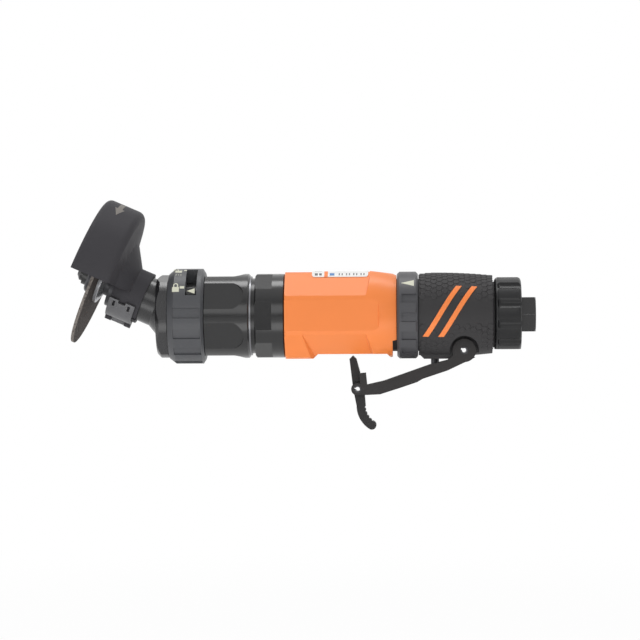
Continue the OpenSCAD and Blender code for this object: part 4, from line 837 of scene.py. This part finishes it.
def makeScaleTree():
    tree, calc, source = newGroup("gripScales", "GeometryNodeTree", {
        "Start": grip["start"], "Length": grip["scaled"], "Radius": grip["radius"],
        "Pitch": grip["pitch"], "Tile Radius": grip["tile"], "Tile Height": grip["height"],
        "Material": "Material"}, {"Geometry": "Geometry"})
    # rows and columns, every second row shifted by half a tile
    rows = calc("FLOOR", calc("/", source["Length"], calc("*", source["Pitch"], grip["rowPitch"])))
    around = calc("*", source["Radius"], 2 * math.pi)
    columns = calc("FLOOR", calc("/", around, source["Pitch"]))
    points = addNode(tree, "GeometryNodePoints", {"Count": calc("*", rows, columns)})
    index = addNode(tree, "GeometryNodeInputIndex")
    row = calc("FLOOR", calc("/", index, columns))
    column = calc("MODULO", index, columns)
    shifted = calc("MULTIPLY_ADD", calc("MODULO", row, 2.0), 0.5, column)
    turn = calc("*", calc("/", shifted, columns), 2 * math.pi)
    rowStep = calc("/", source["Length"], rows)
    station = calc("+", source["Start"], calc("*", calc("+", row, 0.5), rowStep))
    # the barrel's radius there, as in gripRadius
    fromStart = calc("-", station, source["Start"])
    share = calc("-", calc("/", fromStart, grip["length"]), grip["crest"])
    radius = source["Radius"]
    for span, drop in ((1 - grip["crest"], grip["leftDrop"]), (-grip["crest"], grip["rightDrop"])):
        past = calc("MAXIMUM", calc("/", share, span), 0.0)
        fall = calc("*", calc("POWER", past, 2.0), drop)
        radius = calc("-", radius, fall)
    radius = calc("-", radius, grip["scaleSink"])
    sine, cosine = calc("SINE", turn), calc("COSINE", turn)
    toViewer = calc("*", cosine, -1.0)
    height = calc("*", radius, sine)
    depth = calc("*", radius, toViewer)
    place = addNode(tree, "ShaderNodeCombineXYZ", {
        "X": calc("*", station, -mm), "Y": calc("*", depth, mm), "Z": calc("*", height, mm)})
    moved = addNode(tree, "GeometryNodeSetPosition", {"Geometry": points, "Position": place})
    # keep off the lug below, the lever pockets, the inlays and the smooth thumb field between them
    offLug = calc(">", sine, grip["lug"])
    ds = calc("-", station, grip["pivot"][0])
    du = calc("-", height, grip["pivot"][1])
    reach = calc("SQRT", calc("+", calc("*", ds, ds), calc("*", du, du)))
    offPocket = calc(">", reach, grip["pocket"] + grip["tile"])
    keep = calc("*", offLug, offPocket)
    elevation = calc("*", calc("ARCTAN2", sine, calc("ABSOLUTE", cosine)), math.degrees(1))
    for start, end in grip["inlays"]:
        along = calc("/", calc("-", elevation, start[1]), end[1] - start[1])
        barStation = calc("MULTIPLY_ADD", along, end[0] - start[0], start[0])
        aside = calc("ABSOLUTE", calc("-", station, barStation))
        clear = calc(">", aside, grip["inlayWidth"] * grip["inlayClear"] + grip["tile"])
        fromMiddle = calc("ABSOLUTE", calc("-", along, 0.5))
        beyond = calc(">", fromMiddle, grip["inlayEnds"])
        keep = calc("*", keep, calc("MAXIMUM", clear, beyond))
    fieldMiddle, fieldHalf = grip["field"]
    offMiddle = calc("ABSOLUTE", calc("-", elevation, fieldMiddle))
    inField = calc("<", offMiddle, fieldHalf)
    keep = calc("*", keep, calc("-", 1.0, inField))
    normal = addNode(tree, "ShaderNodeCombineXYZ", {"X": 0.0, "Y": toViewer, "Z": sine})
    align = "FunctionNodeAlignRotationToVector"
    faceOut = addNode(tree, align, {"Vector": normal}, axis="Z")
    square = addNode(tree, align, {"Rotation": faceOut, "Vector": (1.0, 0.0, 0.0)},
                     axis="X", pivot_axis="Z")
    tile = addNode(tree, "GeometryNodeMeshCone", {
        "Vertices": 6, "Side Segments": 1,
        "Radius Bottom": calc("*", source["Tile Radius"], mm * grip["tileFoot"]),
        "Radius Top": calc("*", source["Tile Radius"], mm * grip["tileTop"]),
        "Depth": calc("*", source["Tile Height"], mm)})
    placed = addNode(tree, "GeometryNodeInstanceOnPoints", {
        "Points": moved, "Selection": keep, "Instance": tile, "Rotation": square})
    endTree(tree, placed, source["Material"])
    return tree


def fromTree(name, tree, material, body, angle):
    piece = addPiece(name, bpy.data.meshes.new(name))
    nodesMod = piece.modifiers.new("tree", "NODES")
    nodesMod.node_group = tree
    paint = next(item for item in tree.interface.items_tree if item.name == "Material")
    nodesMod[paint.identifier] = finish[material]
    keepMesh(piece)
    piece.data.name = name
    shadeByAngle(piece.data, angle)
    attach(piece, body)
    return piece


scales = fromTree("gripScales", makeScaleTree(), "gripRubber", "housing",
                  grip["smooth"])
print("grip scales:", len(scales.data.polygons))


# thread in the air inlet

inlet = {"radius": 5.5, "rise": 0.55, "pitch": 1.41, "depth": 11.2, "setBack": 0.4,
         "turnSteps": 40, "ridgeSteps": 5, "smooth": 40}


def makeThreadTree():
    tree, calc, source = newGroup("inletThread", "GeometryNodeTree", {
        "Radius": inlet["radius"], "Pitch": inlet["pitch"], "Depth": inlet["depth"],
        "Rise": inlet["rise"], "Material": "Material"}, {"Geometry": "Geometry"})
    radius = calc("*", source["Radius"], mm)
    coil = addNode(tree, "GeometryNodeCurveSpiral", {
        "Resolution": inlet["turnSteps"],
        "Rotations": calc("/", source["Depth"], source["Pitch"]),
        "Start Radius": radius, "End Radius": radius,
        "Height": calc("*", source["Depth"], mm)})
    ridge = addNode(tree, "GeometryNodeCurvePrimitiveCircle", {
        "Resolution": inlet["ridgeSteps"], "Radius": calc("*", source["Rise"], mm)},
        mode="RADIUS")
    swept = addNode(tree, "GeometryNodeCurveToMesh", {
        "Curve": coil, "Profile Curve": ridge, "Fill Caps": True})
    laid = addNode(tree, "GeometryNodeTransform", {
        "Geometry": swept, "Rotation": (0.0, -math.pi / 2, 0.0),
        "Translation": (-inlet["setBack"] * mm, 0.0, 0.0)})
    endTree(tree, laid, source["Material"])
    return tree


fromTree("inletThread", makeThreadTree(), "turnedSteel", "housing", inlet["smooth"])
print("inlet thread cut")


# label: it wraps the crown of the cover and folds onto the panels beside it; plain marks stand for
# its print, as (from, to, low, high) in stations and elevations

label = {"from": 92.4, "to": 123.4, "low": 58.8, "high": 121.2, "corner": 1.4, "cornerTurn": 30,
         "crown": 24.0, "bridge": 1.6, "sheetLift": 0.16, "printLift": 0.19, "sink": 0.05,
         "step": 0.5, "stripe": (114.6, 116.6), "mark": (111.0, 113.6, 60.8, 65.8),
         "blocks": [(118.0, 119.4, 61.0, 65.6), (120.2, 121.8, 61.0, 65.6),
                    (118.0, 121.8, 72, 102)],
         "strokes": (94.4, 96.0, 98.4, 100.0, 102.4, 104.0, 106.4, 108.0), "strokeWidth": 0.6,
         "strokeSpan": (61.2, 65.4), "rows": (79, 84, 89, 94, 99), "rowHeight": 1.2,
         "rowSpan": (94.4, 112.0)}
coverMesh = bpy.data.objects["motor_coverDressed"].data
coverTree = BVHTree.FromPolygons([v.co.copy() for v in coverMesh.vertices],
                                 [tuple(p.vertices) for p in coverMesh.polygons])


def castRadius(station, elevation):
    # the cover's own surface, found by a ray from outside toward its axis
    away = 2 * label["crown"]
    outside = barrelPoint(station, elevation, away)
    ray = barrelPoint(station, elevation, 0) - outside
    return away - coverTree.ray_cast(outside, ray)[3] / mm


def coverRadius(station, elevation):
    # the sheet bridges the small step at the edge of a panel
    bridge = label["bridge"]
    return max(castRadius(station, elevation + turn) for turn in (-bridge, 0, bridge))


def roundedPatch(s0, s1, a0, a1, corner):
    deg = barrel["turn"] / label["crown"]
    outline = []
    for cs, ca, turn in ((s1 - corner, a1 - corner * deg, 0), (s0 + corner, a1 - corner * deg, 90),
                         (s0 + corner, a0 + corner * deg, 180),
                         (s1 - corner, a0 + corner * deg, 270)):
        for step in range(0, 91, label["cornerTurn"]):
            t = math.radians(turn + step)
            outline.append((cs + corner * math.cos(t), ca + corner * math.sin(t) * deg))
    return outline


def labelPiece(name, outlines, lift, material):
    return layOnBarrel(name, outlines, coverRadius, lift, label["sink"], material, "housing",
                       step=label["step"])


sheet = labelPiece("labelSheet", [roundedPatch(label["from"], label["to"], label["low"],
                                               label["high"], label["corner"])],
                   label["sheetLift"], "labelWhite")
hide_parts("rating_label")
labelPiece("labelStripe", [patch(*label["stripe"], label["low"], label["high"])],
           label["printLift"], "orangeInlay")
labelPiece("labelMark", [patch(*label["mark"])], label["printLift"], "labelBlue")
strokes = [patch(s, s + label["strokeWidth"], *label["strokeSpan"]) for s in label["strokes"]]
rows = [patch(*label["rowSpan"], a, a + label["rowHeight"]) for a in label["rows"]]
labelPiece("labelFields", [patch(*block) for block in label["blocks"]] + strokes + rows,
           label["printLift"], "labelGrey")
print("label dressed")


# guard: a turning arrow laid on the drum; angles in degrees round the spindle

arrow = {"radius": 43.4, "along": 55.6, "width": 2.7, "head": 5.6, "from": 7.0, "to": 21.0,
         "tip": 11.0, "blunt": 0.05, "lift": 0.06, "sink": 0.1, "steps": 8}


def spindlePoint(radius, turn, along):
    # turn is measured from straight up, towards the viewer
    angle = math.radians(turn)
    across = spindleUp * radius * math.cos(angle) + Vector((0, -radius * math.sin(angle), 0))
    return layout["apex"] + (across + spindleDir * along) * mm


def makeArrow():
    build = bmesh.new()
    steps = range(arrow["steps"] + 1)
    length = arrow["to"] - arrow["from"]
    shaft = [(arrow["from"] + length * k / arrow["steps"], arrow["width"] / 2) for k in steps]
    head = [(arrow["to"] + arrow["tip"] * k / arrow["steps"],
             arrow["head"] / 2 * (1 - k / arrow["steps"]) + arrow["blunt"]) for k in steps]
    for sections in (shaft, head):
        rings = []
        for turn, half in sections:
            corners = ((arrow["lift"], -half), (arrow["lift"], half),
                       (-arrow["sink"], half), (-arrow["sink"], -half))
            rings.append([build.verts.new(spindlePoint(
                arrow["radius"] + out, turn, arrow["along"] + across)) for out, across in corners])
        for near, far in zip(rings, rings[1:]):
            for k in range(4):
                build.faces.new([near[k], near[(k + 1) % 4], far[(k + 1) % 4], far[k]])
        build.faces.new(rings[0])
        build.faces.new(rings[-1])
    piece = solidPiece("turnArrow", build, "arrowGrey")
    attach(piece, "guard")


makeArrow()
print("guard arrow laid")


# stage, light and camera, with places in metres

stage = {"floor": -0.19, "side": 4.0, "near": -4.0, "far": 0.9, "tone": 0.9, "rough": 0.9,
         "whiteShare": 0.9, "middle": (-0.13, 0.0, -0.19), "fadeFrom": 0.15, "fadeTo": 0.75,
         "diffuse": 0.4, "roomEdge": -0.45}
white = (1, 1, 1, 1)


def makeFloorFinish():
    # what looks at the floor sees it fade to white; a camera below looks through it
    mat, tree, shader = newMaterial("paleFloor")
    calc = calculator(tree)
    path = addNode(tree, "ShaderNodeLightPath").outputs
    feed(tree, shader, {"Base Color": (stage["tone"], stage["tone"], stage["tone"], 1),
                        "Roughness": stage["rough"], "Specular IOR Level": 0.0})
    glow = addNode(tree, "ShaderNodeEmission", {"Color": white, "Strength": 1.0})
    away = vectorMath(tree, "DISTANCE", addNode(tree, "ShaderNodeTexCoord").outputs["Object"],
                      stage["middle"]).outputs["Value"]
    share = ramp(tree, away, stage["fadeFrom"], stage["fadeTo"], stage["whiteShare"],
                 shape="SMOOTHSTEP")
    seen = calc("MAXIMUM", calc("MAXIMUM", path["Is Camera Ray"], path["Is Glossy Ray"]),
                path["Is Transmission Ray"])
    blend = addNode(tree, "ShaderNodeMixShader", {0: calc("*", seen, share), 1: shader, 2: glow})
    under = addNode(tree, "ShaderNodeNewGeometry").outputs["Backfacing"]
    below = addNode(tree, "ShaderNodeMixShader", {
        0: calc("*", under, path["Is Camera Ray"]), 1: blend,
        2: addNode(tree, "ShaderNodeBsdfTransparent")})
    feed(tree, tree.nodes["Material Output"], {"Surface": below})
    return mat


def makeBackdrop():
    side, near, far = stage["side"], stage["near"], stage["far"]
    corners = [(x, y, stage["floor"])
               for x, y in ((-side, near), (side, near), (side, far), (-side, far))]
    mesh = bpy.data.meshes.new("studioFloor")
    mesh.from_pydata(corners, [], [(0, 1, 2, 3)])
    mesh.materials.append(makeFloorFinish())
    floor = addPiece("studioFloor", mesh)


def makeWorld():
    world = bpy.data.worlds.new("studioWorld")
    scene.world = world
    world.use_nodes = True
    tree = world.node_tree
    calc = calculator(tree)
    path = addNode(tree, "ShaderNodeLightPath").outputs
    # reflections find a darker room behind the camera
    heading = addNode(tree, "ShaderNodeSeparateXYZ", {
        "Vector": addNode(tree, "ShaderNodeTexCoord").outputs["Generated"]}).outputs["Y"]
    room = ramp(tree, heading, -1.0, stage["roomEdge"], stage["diffuse"], shape="SMOOTHSTEP")
    mirrored = calc("*", path["Is Glossy Ray"], room)
    seen = calc("MAXIMUM", path["Is Camera Ray"], path["Is Transmission Ray"])
    level = calc("MAXIMUM", calc("MAXIMUM", mirrored, stage["diffuse"]), seen)
    feed(tree, tree.nodes["Background"], {"Color": white, "Strength": level})


# each lamp: place, target, size, power
lamps = {
    "topStrip": ((-0.13, 0.15, 1.0), (-0.13, 0, 0), (1.3, 0.36), 8),
    "frontFill": ((0.0, -1.5, 0.5), (-0.13, 0, 0), (1.0, 0.7), 4),
    "leftStrip": ((-1.1, -0.6, 0.2), (-0.2, 0, 0), (0.4, 1.0), 2),
    "lowFill": ((-0.13, -0.24, -0.18), (-0.13, 0, 0), (0.8, 0.2), 0.9),
}


def addLamp(name, place, target, size, power):
    data = bpy.data.lights.new(name, "AREA")
    data.shape = "RECTANGLE"
    data.size, data.size_y = size
    data.energy = power
    lamp = addPiece(name, data)
    lamp.location = place
    lamp.rotation_euler = (Vector(target) - Vector(place)).to_track_quat("-Z", "Y").to_euler()


lens = {"place": (-0.0667, -1.556, -0.0025), "aim": (-0.1195, 0.0, -0.0025), "focal": 157.5,
        "sensor": 36, "roll": -0.32, "clip": 50}


def makeCamera():
    data = bpy.data.cameras.new("photoCamera")
    data.lens = lens["focal"]
    data.sensor_width = lens["sensor"]
    data.sensor_fit = "HORIZONTAL"
    data.clip_end = lens["clip"]
    camera = addPiece("photoCamera", data)
    place, aim = Vector(lens["place"]), Vector(lens["aim"])
    turn = (aim - place).to_track_quat("-Z", "Y").to_matrix().to_4x4()
    roll = Matrix.Rotation(math.radians(lens["roll"]), 4, "Z")
    camera.matrix_world = Matrix.Translation(place) @ turn @ roll
    scene.camera = camera


makeBackdrop()
makeWorld()
for name, lamp in lamps.items():
    addLamp(name, *lamp)
makeCamera()
scene.view_settings.view_transform = "Standard"
print("stage lit")
